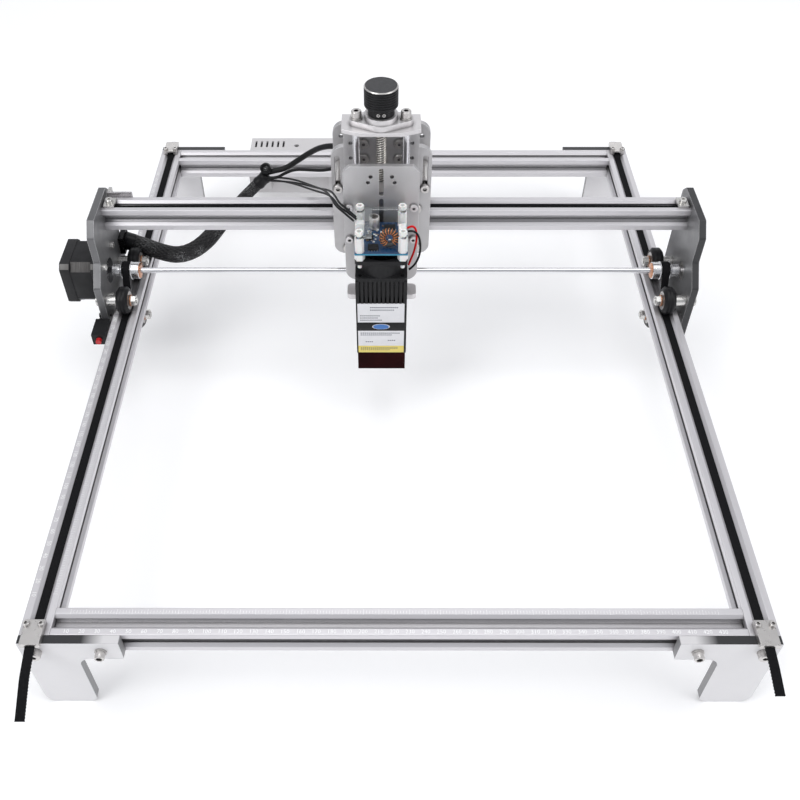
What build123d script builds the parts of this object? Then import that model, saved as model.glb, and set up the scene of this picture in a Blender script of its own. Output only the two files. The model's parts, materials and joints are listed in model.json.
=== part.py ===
from build123d import *
import math
import os

# ---------------------------------------------------------------- driving dimensions (mm)
# Bench coordinates while modelling: X to the right from the frame's middle, Y to the back from
# the front rail's front face, Z up from the surface that the feet stand on.
RAIL = 20.0                 # side of the square extrusion
SLOT_MOUTH = 10.6           # width of the V at the surface
SLOT_NECK = 6.2             # width at the bottom of the V
SLOT_LIP = 2.2              # depth of the V
SLOT_CAVITY = 11.0          # width of the cavity behind the lips
SLOT_FLOOR = 5.8
SLOT_DEPTH = 6.1
RAIL_BORE = 2.1             # radius of the centre bore
FRAME_WIDTH = 486.0
FRAME_DEPTH = 565.0
RAIL_TOP = 80.0
PLATE = 6.0                 # thickness of foot plates and gantry side plates
RUN = 0.08                  # radial clearance of a running fit
GAP = 0.3                   # clearance between pieces that pass each other

SIDE_X = FRAME_WIDTH / 2 - RAIL / 2
RAIL_Z = RAIL_TOP - RAIL / 2

FOOT_LEG = 35.3             # width of a foot plate's leg
FOOT_BAR = 65.0             # length of its top bar
FOOT_SCREW_INSET = 52.0     # from the outer edge to the screw in the cross rail
CLAMP_TOP = RAIL_TOP + 4.0  # top of the bridge over a Y belt's end
CLAMP_LENGTH = 15.0
CLAMP_SCREW_DEPTH = 11.5    # from the plate's outer face to the clamp screws
CLAMP_SCREW_X = 4.8
CLAMP_HALF = 6.4
CLAMP_LEDGE = 3.0           # how far it stands out over the foot plate

# V wheels
WHEEL_R = 11.95
WHEEL_WIDTH = 10.23
WHEEL_TREAD = 5.9
WHEEL_AXLE = 10.0           # axle height above the rail's surface
AXLE_R = 2.5
BEARING_R = 8.0

# GT2 belts
BELT_WIDTH = 6.0
BELT_THICK = 1.5
PULLEY_R = 6.1
PULLEY_FLANGE_R = 8.0
FLAT_DROP = 1.8             # the belt that stays in the slot lies this far under the loop
X_CLAMP_X = 242.0           # from the middle to the X belt's clamps

# gantry
GANTRY_INNER = 248.0        # half the distance between the side plates
GANTRY_OUTER = GANTRY_INNER + PLATE
SHAFT_Y = 340.0
SHAFT_Z = 101.0
SHAFT_R = 2.5
SIDE_WHEEL_PITCH = 54.0     # between the two upper wheels of one side
BEAM_FRONT = 354.0
BEAM_TOP = 153.5
BEAM_Y = BEAM_FRONT + RAIL / 2
BEAM_Z = BEAM_TOP - RAIL / 2

# Y end switch
SWITCH_X = (-259.0, -247.0)
SWITCH_Y = (285.0, 305.6)
SWITCH_Z = (64.5, 75.5)
STRAP_BACK = 317.0
STRAP_SCREW_Y = 312.0
STRAP_SCREW_Z = (66.0, 74.0)
BUTTON_R = 2.4
BUTTON_STEM = 3.4

# stepper motor, 42 mm frame
MOTOR_SIDE = 42.3
MOTOR_HOLES = 31.0
MOTOR_BOSS_R = 11.0
Y_MOTOR_LENGTH = 30.0
X_MOTOR_LENGTH = 34.0

# X carriage
CARRIAGE_X = -12.0
CARRIAGE_WIDTH = 80.0
CARRIAGE_BOTTOM = 117.0
CARRIAGE_TOP = 220.5
CARRIAGE_THICK = 5.0
CARRIAGE_GAP = 30.0         # between the two carriage plates
CARRIAGE_WHEEL_PITCH = 56.0
CARRIAGE_SLOT_X = 35.0
CARRIAGE_SLOT_Z = (183.0, 211.0)
REAR_HOLE_X = 33.0
REAR_HOLE_Z = 209.0
X_PULLEY_Z = 180.0
FRONT_PLATE_Y = BEAM_Y - CARRIAGE_GAP / 2 - CARRIAGE_THICK
REAR_PLATE_Y = BEAM_Y + CARRIAGE_GAP / 2

# Z axis
Z_WIDTH = 58.0
BACK_PLATE_Y = 331.0
BACK_PLATE_THICK = 5.0
ROD_Y = 324.0
ROD_X = 18.7
ROD_R = 3.0
SCREW_R = 4.0
END_PLATE = 5.0             # thickness of the bottom plate
TOP_PLATE = 3.0
TOP_FRONT = 310.0
TOP_BACK = 337.0
Z_BOTTOM = 89.0
Z_TOP = 250.0
BACK_SCREW_X = 13.5
SLIDER_Y = 302.0
SLIDER_THICK = 4.0
SLIDER_BOTTOM = 122.0
SLIDER_TOP = 230.0
BLOCK_BACK = 328.1
BLOCK_BOTTOM = 148.0
BLOCK_TOP = 205.0
SLIDER_SCREW_X = 25.0
SLIDER_SCREW_Z = (164.0, 194.0)
BEARING_HOLE = 18.3         # half the distance between the flange bearing's holes
BEARING_BASE = 4.5          # thickness of its flange
BEARING_RING_R = 12.3
BEARING_HEIGHT = 8.7
ROD_SEAT = 0.9              # how deep a guide rod sits in the top plate
SCREW_TOP = 281.6
KNOB_TOP = 283.6
KNOB_R = 12.6
KNOB_LENGTH = 16.2
COLLAR_R = 10.0             # the collar between the knob and its bearing
COLLAR_BOTTOM = 262.0

# laser head
LASER = 40.0                # side of the housing, the fan and the driver board
LASER_Y = 277.0             # its centre line
HOUSING_BOTTOM = 82.0
HOUSING_TOP = 157.0
SHIELD_BOTTOM = 63.0
FAN_TOP = 176.5
BOARD_Z = 182.2
BOARD_THICK = 1.6
COVER_Z = 196.6
COVER_THICK = 2.2
POST_PITCH = 32.4
FAN_BORE = 18.4

# controller
CASE_X = (-156.0, -46.0)
CASE_Y = (571.0, 621.0)
CASE_Z = (23.0, 60.0)
CASE_WALL = 2.0
EAR_X = (-140.0, -62.0)
VENT_COUNT = 6
VENT_START = -150.5
VENT_PITCH = 6.0

# cords
SLEEVE_D = 14.0
SLEEVE_ROUTE = [
    (-240.6, 388.5, 95),
    (-229, 388.5, 90.5),
    (-214, 384, 87),
    (-198, 379.5, 86.3),
    (-184, 384, 87.8),
    (-172, 394, 92),
    (-161, 407, 99.5),
    (-148, 419, 110),
    (-133.5, 427, 122.5),
    (-118, 429.5, 136.5),
]
MOTOR_LEAD_D = 5.0
MOTOR_LEAD_ROUTE = [
    (-118.8, 430, 140),
    (-110, 430.5, 142.5),
    (-99.3, 430, 144.8),
    (-87.9, 430, 153.1),
    (-76.5, 428, 162.5),
    (-65, 420, 173.5),
    (-52, 410, 181),
    (-42, 405, 182.5),
]
SWITCH_LEAD_D = 2.8
SWITCH_LEAD_ROUTE = [
    (-116.5, 426, 138),
    (-107.1, 426, 137.5),
    (-98.7, 422, 145.8),
    (-88, 415, 154.4),
    (-73.7, 405, 160),
    (-61, 395, 166),
    (-52.6, 391.5, 170.5),
]
LASER_LEAD_D = 4.6
LASER_LEAD_ROUTE = [
    (-114, 429, 134.5),
    (-101.5, 420.5, 139.5),
    (-87, 402, 149.5),
    (-74, 383, 158),
    (-64, 363, 168.5),
    (-56.5, 345, 179),
    (-50.5, 325, 188),
    (-45.8, 305.5, 193.5),
    (-39.5, 294, 196.5),
    (-31.6, 286.8, 193.8),
]
WIRE_D = 1.7
RED_WIRE_ROUTE = [
    (8.0, 284, 187.6),
    (11.4, 283.5, 190.5),
    (14.6, 282, 188),
    (15.2, 280, 180),
    (13.6, 278, 171),
    (10.6, 276, 163),
    (9.2, 275.5, 159.0),
]
BLACK_WIRE_ROUTE = [
    (8.0, 281, 186.6),
    (12, 280, 188.5),
    (16.5, 278, 185.5),
    (18.2, 275.5, 177),
    (17, 273, 168),
    (13, 271, 161),
    (9.4, 270.2, 158.6),
]

SIDES = {"left": -1, "right": 1}
FACING = {
    "+x": Rot(0, 90, 0),
    "-x": Rot(0, -90, 0),
    "+y": Rot(-90, 0, 0),
    "-y": Rot(90, 0, 0),
    "+z": Rot(0, 0, 0),
    "-z": Rot(180, 0, 0),
}


# ---------------------------------------------------------------- small shapes
def block(x, y, z):
    """A box from three (low, high) spans."""
    spans = (x, y, z)
    centre = [(low + high) / 2 for low, high in spans]
    size = [high - low for low, high in spans]
    return Pos(*centre) * Box(*size)


def rod(x, y, z, radius):
    """A cylinder along the one coordinate that is a (start, end) pair."""
    spans = [value if isinstance(value, tuple) else (value, value) for value in (x, y, z)]
    centre = [(low + high) / 2 for low, high in spans]
    lengths = [high - low for low, high in spans]
    turn = FACING[("+x", "+y", "+z")[lengths.index(max(lengths))]]
    return Pos(*centre) * turn * Cylinder(radius, max(lengths))


def tube(x, y, z, outer, inner):
    """A round sleeve along the one coordinate that is a (start, end) pair."""
    return rod(x, y, z, outer) - rod(x, y, z, inner)


def around(centre, half):
    """The span that reaches half on both sides of the centre."""
    return (centre - half, centre + half)


def outline(corners, plane):
    """A closed face on a plane from (u, v, fillet radius) corners."""
    points = [(u, v) for u, v, radius in corners]
    radii = [radius for u, v, radius in corners]
    return plane * make_face(FilletPolyline(*points, radius=radii, close=True))


def nut(place, flats, height, bore):
    """A hexagon nut whose bottom is at the place, rising along local +Z."""
    body = extrude(RegularPolygon(flats / 2, 6, major_radius=False), height)
    return place * (body - Pos(0, 0, height / 2) * Cylinder(bore, height))


def cap_screw(place, radius, shank, head_radius, head_height):
    """A socket-head screw: the head rises along local +Z from the place, the shank goes down."""
    head = Pos(0, 0, head_height / 2) * Cylinder(head_radius, head_height)
    head = chamfer(head.edges().group_by(Axis.Z)[-1], head_radius * 0.12)
    socket = extrude(RegularPolygon(radius * 0.8, 6, major_radius=False), -head_height * 0.55)
    body = head + Pos(0, 0, -shank / 2) * Cylinder(radius, shank)
    return place * (body - Pos(0, 0, head_height) * socket)


def screw_at(facing, x, y, z, radius, shank, head_radius, head_height):
    """A socket-head screw at a point, its head facing along a named direction."""
    return cap_screw(Pos(x, y, z) * FACING[facing], radius, shank, head_radius, head_height)


# ---------------------------------------------------------------- frame
def rail_profile():
    """The 20 mm V-slot section about its centre."""
    half = RAIL / 2
    side = [
        (SLOT_MOUTH / 2, half),
        (SLOT_NECK / 2, half - SLOT_LIP),
        (SLOT_CAVITY / 2, half - SLOT_LIP),
        (SLOT_CAVITY / 2, half - SLOT_LIP - 1.4),
        (SLOT_FLOOR / 2, half - SLOT_DEPTH),
    ]
    mirrored = [(-u, v) for u, v in reversed(side)]
    slot = make_face(Polyline(*side, *mirrored, close=True))
    profile = RectangleRounded(RAIL, RAIL, 0.6) - Circle(RAIL_BORE)
    for quarter in range(4):
        profile -= Rot(0, 0, 90 * quarter) * slot
    return profile


def rail_along_x(y, z, half_length):
    return Pos(-half_length, y, z) * extrude(Plane.YZ * rail_profile(), 2 * half_length)


def rail_along_y(x, z, start, end):
    return Pos(x, start, z) * extrude(Plane.ZX * rail_profile(), end - start)


def foot_plate(side, outer_y, inner_y):
    """An L-shaped foot: a leg to the surface and a bar along the cross rail."""
    edge = FRAME_WIDTH / 2
    corners = [
        (edge, RAIL_TOP, 0.6),
        (edge, 0, 9),
        (edge - FOOT_LEG, 0, 6),
        (edge - FOOT_LEG, RAIL_TOP - RAIL, 8),
        (edge - FOOT_BAR, RAIL_TOP - RAIL, 1.5),
        (edge - FOOT_BAR, RAIL_TOP, 0.6),
    ]
    face = outline([(side * u, v, radius) for u, v, radius in corners], Plane.XZ)
    low = min(outer_y, inner_y)
    plate = Pos(0, low, 0) * extrude(face, -PLATE)
    span = (low - 1, low + PLATE + 1)
    plate -= rod(side * SIDE_X, span, RAIL_Z, 2.3)
    plate -= rod(side * (edge - FOOT_SCREW_INSET), span, RAIL_Z, 2.7)
    return plate


def foot_plates():
    plates = []
    for side in SIDES.values():
        plates.append(foot_plate(side, -PLATE, 0))
        plates.append(foot_plate(side, FRAME_DEPTH + PLATE, FRAME_DEPTH))
    return plates


def tee_nut(x, face_y, inward):
    """A slot nut in the cavity of a cross rail, behind its lips."""
    lip = face_y + inward * (SLOT_LIP + 0.05)
    step = face_y + inward * 3.5
    deep = face_y + inward * 5.6
    body = block(around(x, 5), tuple(sorted((lip, step))), around(RAIL_Z, 5.2))
    body += block(around(x, 5), tuple(sorted((step, deep))), around(RAIL_Z, 3.0))
    return body - rod(x, tuple(sorted((lip - inward, deep + inward))), RAIL_Z, 2.45)


def frame_fasteners():
    """Foot screws, washers and slot nuts, the Y belts' clamps and the controller's screws."""
    pieces = []
    ends = (("-y", -PLATE, 0.0, 1), ("+y", FRAME_DEPTH + PLATE, FRAME_DEPTH, -1))
    for side in SIDES.values():
        slot_x = side * (FRAME_WIDTH / 2 - FOOT_SCREW_INSET)
        for facing, outer, rail_face, inward in ends:
            seat = outer - inward * 1.2
            pieces.append(tube(slot_x, tuple(sorted((outer, seat))), RAIL_Z, 3.9, 2.6))
            pieces.append(screw_at(facing, slot_x, seat, RAIL_Z, 2.4, PLATE + 6.2, 3.3, 4.6))
            pieces.append(tee_nut(slot_x, rail_face, inward))
            pieces.append(screw_at(facing, side * SIDE_X, outer, RAIL_Z, 2.05, PLATE + 12, 4.25, 5.0))
            pieces += belt_clamp(side * SIDE_X, outer, inward)
    for x in EAR_X:
        pieces.append(screw_at("+y", x, CASE_Y[0], RAIL_Z, 2.4, 11.0, 4.25, 3.2))
        pieces.append(tee_nut(x, FRAME_DEPTH, -1))
    return pieces


def belt_clamp(x, outer, inward):
    """A grooved bridge over the belt at a rail's end and the two screws beside the belt."""
    far = outer + inward * CLAMP_LENGTH
    near = outer - inward * CLAMP_LEDGE
    span = tuple(sorted((near, far)))
    bridge = block(around(x, CLAMP_HALF), span, (RAIL_TOP + GAP / 3, CLAMP_TOP))
    bridge -= block(around(x, 3.2), (span[0] - 1, span[1] + 1), (RAIL_TOP - 1, RAIL_TOP + 2.2))
    screws = []
    screw_y = outer + inward * CLAMP_SCREW_DEPTH
    for offset in (-CLAMP_SCREW_X, CLAMP_SCREW_X):
        bridge -= rod(x + offset, screw_y, (RAIL_TOP - 1, CLAMP_TOP + 1), 1.3)
        screws.append(screw_at("+z", x + offset, screw_y, CLAMP_TOP, 1.2, 3.8, 2.1, 2.2))
    return [bridge] + screws


# ---------------------------------------------------------------- belts
def belt_section(path):
    """Sweep the flat belt section along a path in a plane of constant X or Y."""
    start = path.position_at(0)
    direction = path.tangent_at(0)
    across = Vector(1, 0, 0) if abs(direction.X) < 0.01 else Vector(0, 1, 0)
    plane = Plane(origin=start, x_dir=across, z_dir=direction)
    return sweep(plane * Rectangle(BELT_WIDTH, BELT_THICK), path=path)


def wrap_radii():
    wheel = WHEEL_R + GAP + BELT_THICK / 2
    pulley = PULLEY_R + GAP + BELT_THICK / 2
    return wheel, pulley


def loop_path(centre, wheel_pitch, wheel_z, pulley_z, tail, place):
    """The belt's way under one wheel, over the pulley and under the other wheel."""
    wheel, pulley = wrap_radii()
    half = wheel_pitch / 2
    rise = pulley_z - wheel_z
    slope = math.atan2(rise, half) + math.asin((wheel + pulley) / math.hypot(half, rise))
    flat = wheel_z - wheel
    apex = pulley_z + pulley / math.cos(slope)
    corner = (apex - flat) / math.tan(slope)
    points = [
        (centre - half - tail, flat),
        (centre - corner, flat),
        (centre, apex),
        (centre + corner, flat),
        (centre + half + tail, flat),
    ]
    return FilletPolyline(*[place(u, v) for u, v in points], radius=[wheel, pulley, wheel])


def y_belt_loops():
    loops = []
    for side in SIDES.values():
        path = loop_path(SHAFT_Y, SIDE_WHEEL_PITCH, RAIL_TOP + WHEEL_AXLE, SHAFT_Z, 12.0,
                         lambda u, v, x=side * SIDE_X: (x, u, v))
        loops.append(belt_section(path))
    return loops


def x_belt_loop():
    path = loop_path(CARRIAGE_X, CARRIAGE_WHEEL_PITCH, BEAM_TOP + WHEEL_AXLE, X_PULLEY_Z, 14.0,
                     lambda u, v: (u, BEAM_Y, v))
    return belt_section(path)


def y_belts():
    """Each Y belt lies in a side rail's slot, climbs out at both ends and ends in a loose tail."""
    low = RAIL_TOP + WHEEL_AXLE - wrap_radii()[0] - FLAT_DROP
    high = RAIL_TOP + GAP / 3 + BELT_THICK / 2
    back = FRAME_DEPTH
    belts = []
    for side, reach, drop in ((-1, 50.0, 17.0), (1, 38.0, 6.0)):
        x = side * SIDE_X
        points = [
            (x, -reach, high - drop),
            (x, -reach * 0.55, high - drop * 0.32),
            (x, -PLATE - 2, high),
            (x, 4, high),
            (x, 13, low),
            (x, back - 13, low),
            (x, back - 4, high),
            (x, back + PLATE + 2, high),
            (x, back + PLATE + 12, high - 3),
        ]
        path = FilletPolyline(*points, radius=[30, 14, 6, 6, 6, 6, 10])
        belts.append(belt_section(path))
    return belts


def x_belt():
    """The straight X belt in the beam's top slot."""
    z = BEAM_TOP + WHEEL_AXLE - wrap_radii()[0] - FLAT_DROP
    end = GANTRY_INNER - 1
    return block(around(0, end), around(BEAM_Y, BELT_WIDTH / 2), around(z, BELT_THICK / 2))


# ---------------------------------------------------------------- wheels, axles and motors
def v_wheel(place):
    """A V wheel about local Z, with its two ball bearings."""
    half = WHEEL_WIDTH / 2
    tread = WHEEL_TREAD / 2
    shoulder = WHEEL_R - (half - tread)
    section = [
        (BEARING_R, -half),
        (shoulder, -half),
        (WHEEL_R, -tread),
        (WHEEL_R, tread),
        (shoulder, half),
        (BEARING_R, half),
    ]
    face = make_face(Polyline(*[(r, 0, z) for r, z in section], close=True))
    tyre = revolve(face, Axis.Z)
    bearings = []
    for side in (-1, 1):
        ring = Cylinder(BEARING_R - 0.05, 4.6) - Cylinder(AXLE_R + RUN, 4.6)
        groove = Cylinder(6.6, 0.5) - Cylinder(4.2, 0.5)
        ring -= Pos(0, 0, side * 2.1) * groove
        bearings.append(Pos(0, 0, side * 2.6) * ring)
    return [place * solid for solid in [tyre] + bearings]


def stepper(place, length):
    """A stepper motor behind local Z = 0: front cap, stator stack, rear cap and connector."""
    cap = 9.0

    def slab(z0, z1, cut):
        corner = MOTOR_SIDE / 2
        face = chamfer(Rectangle(2 * corner, 2 * corner).vertices(), cut)
        return Pos(0, 0, z0) * extrude(face, z1 - z0)

    bore = Pos(0, 0, -length / 2 + 3) * Cylinder(SHAFT_R + RUN, length + 6)
    front = slab(-cap, 0, 4.2) + Pos(0, 0, 1) * Cylinder(MOTOR_BOSS_R, 2) - bore
    for u in (-1, 1):
        for v in (-1, 1):
            hole = Pos(u * MOTOR_HOLES / 2, v * MOTOR_HOLES / 2, -2.5) * Cylinder(1.6, 5)
            front -= hole
    stack = slab(-length + cap, -cap, 6.4) - bore
    rear = slab(-length, -length + cap, 4.2)
    rear -= Pos(0, 0, -length + cap - 2.5) * Cylinder(SHAFT_R + 1.5, 5)
    plug_low = -length + 1.5
    plug = Pos(0, 0, plug_low) * extrude(Pos(0, -MOTOR_SIDE / 2 - 3) * Rectangle(16, 6), 7.5)
    return [place * solid for solid in (front, stack, rear, plug)]


def pulley(place, hub_side):
    """A 20-tooth belt pulley about local Z, its hub on one side, with a bore for the shaft."""
    half = BELT_WIDTH / 2 + 0.5
    body = Cylinder(PULLEY_R, 2 * half)
    for side in (-1, 1):
        body += Pos(0, 0, side * (half + 0.5)) * Cylinder(PULLEY_FLANGE_R, 1.0)
    body += Pos(0, 0, hub_side * (half + 4.25)) * Cylinder(PULLEY_FLANGE_R - 0.6, 6.5)
    body -= Cylinder(SHAFT_R + 0.02, 4 * BELT_WIDTH)
    hub_z = hub_side * (half + 4.5)
    for turn in (0, 90):
        body -= Pos(0, 0, hub_z) * Rot(0, 90, turn) * Pos(0, 0, 6) * Cylinder(1.5, 6)
    return place * body


def side_wheel_places():
    """Name, Y and Z of the three wheels of one side."""
    half = SIDE_WHEEL_PITCH / 2
    top = RAIL_TOP + WHEEL_AXLE
    bottom = RAIL_TOP - RAIL - WHEEL_AXLE
    return [("front", SHAFT_Y - half, top), ("rear", SHAFT_Y + half, top), ("lower", SHAFT_Y, bottom)]


def carriage_wheel_places():
    """Name, X and Z of the carriage's four wheels."""
    half = CARRIAGE_WHEEL_PITCH / 2
    heights = (("upper", BEAM_TOP + WHEEL_AXLE), ("lower", BEAM_TOP - RAIL - WHEEL_AXLE))
    return [
        (level + "_" + name, CARRIAGE_X + side * half, z)
        for level, z in heights
        for name, side in SIDES.items()
    ]


def side_axles():
    """Axle bolts, eccentric spacers, washers and nuts of the six side wheels."""
    pieces = []
    for side in SIDES.values():
        outer = "+x" if side > 0 else "-x"
        inner = "-x" if side > 0 else "+x"
        near = side * (SIDE_X + WHEEL_WIDTH / 2 + GAP)
        far = side * (SIDE_X - WHEEL_WIDTH / 2 - GAP)
        nut_face = far - side * 1.0
        for name, y, z in side_wheel_places():
            pieces.append(screw_at(outer, side * GANTRY_OUTER, y, z, AXLE_R, 32.4, 4.75, 2.75))
            pieces.append(tube(tuple(sorted((near, side * GANTRY_INNER))), y, z, 4.6, AXLE_R + 0.05))
            pieces.append(tube(tuple(sorted((far, nut_face))), y, z, 5.0, AXLE_R + 0.05))
            pieces.append(nut(Pos(nut_face, y, z) * FACING[inner], 8.0, 4.0, AXLE_R + 0.05))
    return pieces


def carriage_axles():
    """Axle bolts, spacers and nuts of the four carriage wheels."""
    pieces = []
    half = WHEEL_WIDTH / 2 + GAP
    front_inner = FRONT_PLATE_Y + CARRIAGE_THICK
    rear_outer = REAR_PLATE_Y + CARRIAGE_THICK
    for name, x, z in carriage_wheel_places():
        pieces.append(screw_at("-y", x, FRONT_PLATE_Y, z, AXLE_R, 45.0, 4.75, 2.75))
        pieces.append(tube(x, (front_inner, BEAM_Y - half), z, 4.6, AXLE_R + 0.05))
        pieces.append(tube(x, (BEAM_Y + half, REAR_PLATE_Y), z, 4.6, AXLE_R + 0.05))
        pieces.append(nut(Pos(x, rear_outer, z) * FACING["+y"], 8.0, 4.0, AXLE_R + 0.05))
    return pieces


# ---------------------------------------------------------------- gantry
def side_plate(side):
    """A gantry side plate: wide at the wheels, stepped back to the beam above."""
    corners = [
        (333, 159, 1),
        (380, 159, 1),
        (387, 152, 1),
        (387, 57, 3),
        (372, 40, 3),
        (322, 40, 3),
        (306, 56, 3),
        (306, 108, 3),
        (322, 124, 3),
        (322, 148, 3),
    ]
    low = GANTRY_INNER if side > 0 else -GANTRY_OUTER
    plate = Pos(low, 0, 0) * extrude(outline(corners, Plane.YZ), PLATE)
    span = (low - 1, low + PLATE + 1)
    for name, y, z in side_wheel_places():
        plate -= rod(span, y, z, AXLE_R + 0.1)
    plate -= rod(span, SHAFT_Y, SHAFT_Z, MOTOR_BOSS_R + 0.2 if side < 0 else BEARING_R + 0.05)
    if side < 0:
        for y in around(SHAFT_Y, MOTOR_HOLES / 2):
            for z in around(SHAFT_Z, MOTOR_HOLES / 2):
                plate -= rod(span, y, z, 1.6)
    plate -= rod(span, BEAM_Y, BEAM_Z, 2.3)
    for z in STRAP_SCREW_Z:
        plate -= rod(span, STRAP_SCREW_Y, z, 1.3)
    return plate


def gantry_fittings():
    """Screws of the motor, beam and bearing, the X belt's clamps and the harness's fixings."""
    pieces = []
    inner = -GANTRY_INNER
    for y in around(SHAFT_Y, MOTOR_HOLES / 2):
        for z in around(SHAFT_Z, MOTOR_HOLES / 2):
            pieces.append(screw_at("+x", inner, y, z, 1.5, PLATE + 4.5, 2.75, 3.0))
    for side, facing in ((-1, "-x"), (1, "+x")):
        pieces.append(screw_at(facing, side * GANTRY_OUTER, BEAM_Y, BEAM_Z, 2.05, PLATE + 12, 4.75, 2.75))
        clamp = block(around(side * X_CLAMP_X, 4.5), around(BEAM_Y, 6.0), (BEAM_TOP, BEAM_TOP + 2.0))
        hole_z = (BEAM_TOP - 1, BEAM_TOP + 3)
        clamp -= rod(side * X_CLAMP_X, BEAM_Y, hole_z, 1.6)
        pieces.append(clamp)
        pieces.append(screw_at("+z", side * X_CLAMP_X, BEAM_Y, BEAM_TOP + 2.0, 1.5, 3.5, 3.2, 3.0))
    pieces.append(harness_tab())
    pieces.append(harness_clip())
    return pieces


def harness_tab():
    """A bent tab on the back of the beam's left end."""
    back = BEAM_FRONT + RAIL
    tab = block((-246, -225), (back, back + 2), (BEAM_Z - 7, BEAM_TOP + 4))
    return tab + block((-246, -243.5), (back + 2, back + 9), (BEAM_Z - 7, BEAM_TOP + 4))


def harness_clip():
    """The block on the left plate's inner face that the braided harness leaves from."""
    return block((-GANTRY_INNER, -243.6), (377, 396), (90, 106.5))


def shaft_bearing():
    """The ball bearing in the right side plate that carries the cross shaft's far end."""
    span = (GANTRY_INNER + 0.5, GANTRY_INNER + 5.5)
    return tube(span, SHAFT_Y, SHAFT_Z, BEARING_R, SHAFT_R + RUN)


def limit_switch():
    """The Y end switch on the left plate's front edge, and the strap that holds it."""
    body = block(SWITCH_X, SWITCH_Y, SWITCH_Z)
    middle_x = sum(SWITCH_X) / 2
    middle_z = sum(SWITCH_Z) / 2
    body -= rod(middle_x, (SWITCH_Y[0], SWITCH_Y[0] + 5), middle_z, BUTTON_R + 0.1)
    strap = block((-GANTRY_OUTER - 2, -GANTRY_OUTER), (SWITCH_Y[1], STRAP_BACK), SWITCH_Z)
    for z in STRAP_SCREW_Z:
        strap -= rod((-GANTRY_OUTER - 3, -GANTRY_OUTER + 1), STRAP_SCREW_Y, z, 1.3)
    screws = [
        screw_at("-x", -GANTRY_OUTER - 2, STRAP_SCREW_Y, z, 1.2, PLATE + 3, 2.1, 1.4)
        for z in STRAP_SCREW_Z
    ]
    return [body, strap] + screws


def limit_switch_button():
    middle_x = sum(SWITCH_X) / 2
    middle_z = sum(SWITCH_Z) / 2
    return rod(middle_x, (SWITCH_Y[0] - BUTTON_STEM, SWITCH_Y[0] + 2.0), middle_z, BUTTON_R)


# ---------------------------------------------------------------- Y drive
def cross_shaft():
    start = -GANTRY_OUTER - Y_MOTOR_LENGTH + 6.0
    return rod((start, GANTRY_OUTER + 3.0), SHAFT_Y, SHAFT_Z, SHAFT_R)


def y_pulleys():
    """Both pulleys and the stop collars on the shaft."""
    pieces = []
    for side in SIDES.values():
        place = Pos(side * SIDE_X, SHAFT_Y, SHAFT_Z) * FACING["+x"]
        pieces.append(pulley(place, -side))
        collar = tuple(sorted((side * 238.6, side * 245.2)))
        pieces.append(tube(collar, SHAFT_Y, SHAFT_Z, 5.6, SHAFT_R + 0.02))
        washer = tuple(sorted((side * 221.4, side * 222.3)))
        pieces.append(tube(washer, SHAFT_Y, SHAFT_Z, 6.6, SHAFT_R + 0.02))
    return pieces


# ---------------------------------------------------------------- X carriage
def carriage_plate(front_y, has_tab, motor_holes):
    """A carriage plate: the front one is slotted and has a tab, the rear one carries the motor."""
    half = CARRIAGE_WIDTH / 2
    corners = [
        (CARRIAGE_X + half, CARRIAGE_TOP, 10),
        (CARRIAGE_X + half, CARRIAGE_BOTTOM, 9),
        (CARRIAGE_X - half, CARRIAGE_BOTTOM, 9),
        (CARRIAGE_X - half, CARRIAGE_TOP, 10),
    ]
    face = outline(corners, Plane.XZ)
    if has_tab:
        tab_top = CARRIAGE_TOP + 17
        face += Plane.XZ * Pos(CARRIAGE_X, (tab_top + 200) / 2) * Rectangle(38, tab_top - 200)
    plate = Pos(0, front_y, 0) * extrude(face, -CARRIAGE_THICK)
    span = (front_y - 1, front_y + CARRIAGE_THICK + 1)
    for name, x, z in carriage_wheel_places():
        plate -= rod(x, span, z, AXLE_R + 0.1)
    for side in SIDES.values():
        x = CARRIAGE_X + side * CARRIAGE_SLOT_X
        plate -= rod(x, span, CARRIAGE_SLOT_Z[0], 2.1)
        if has_tab:
            plate -= block(around(x, 2.1), span, CARRIAGE_SLOT_Z)
            plate -= rod(x, span, CARRIAGE_SLOT_Z[1], 2.1)
        else:
            plate -= rod(CARRIAGE_X + side * REAR_HOLE_X, span, REAR_HOLE_Z, 2.0)
    if motor_holes:
        plate -= rod(CARRIAGE_X, span, X_PULLEY_Z, MOTOR_BOSS_R + 0.2)
        for x in around(CARRIAGE_X, MOTOR_HOLES / 2):
            for z in around(X_PULLEY_Z, MOTOR_HOLES / 2):
                plate -= rod(x, span, z, 1.6)
    if has_tab:
        for x, z in back_screw_places():
            plate -= rod(x, span, z, 1.6)
    return plate


def back_screw_places():
    """X and Z of the six screws that hold the Z axis to the carriage."""
    return [
        (CARRIAGE_X + side * BACK_SCREW_X, z)
        for side in SIDES.values()
        for z in (138.0, 219.0, 232.0)
    ]


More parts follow.
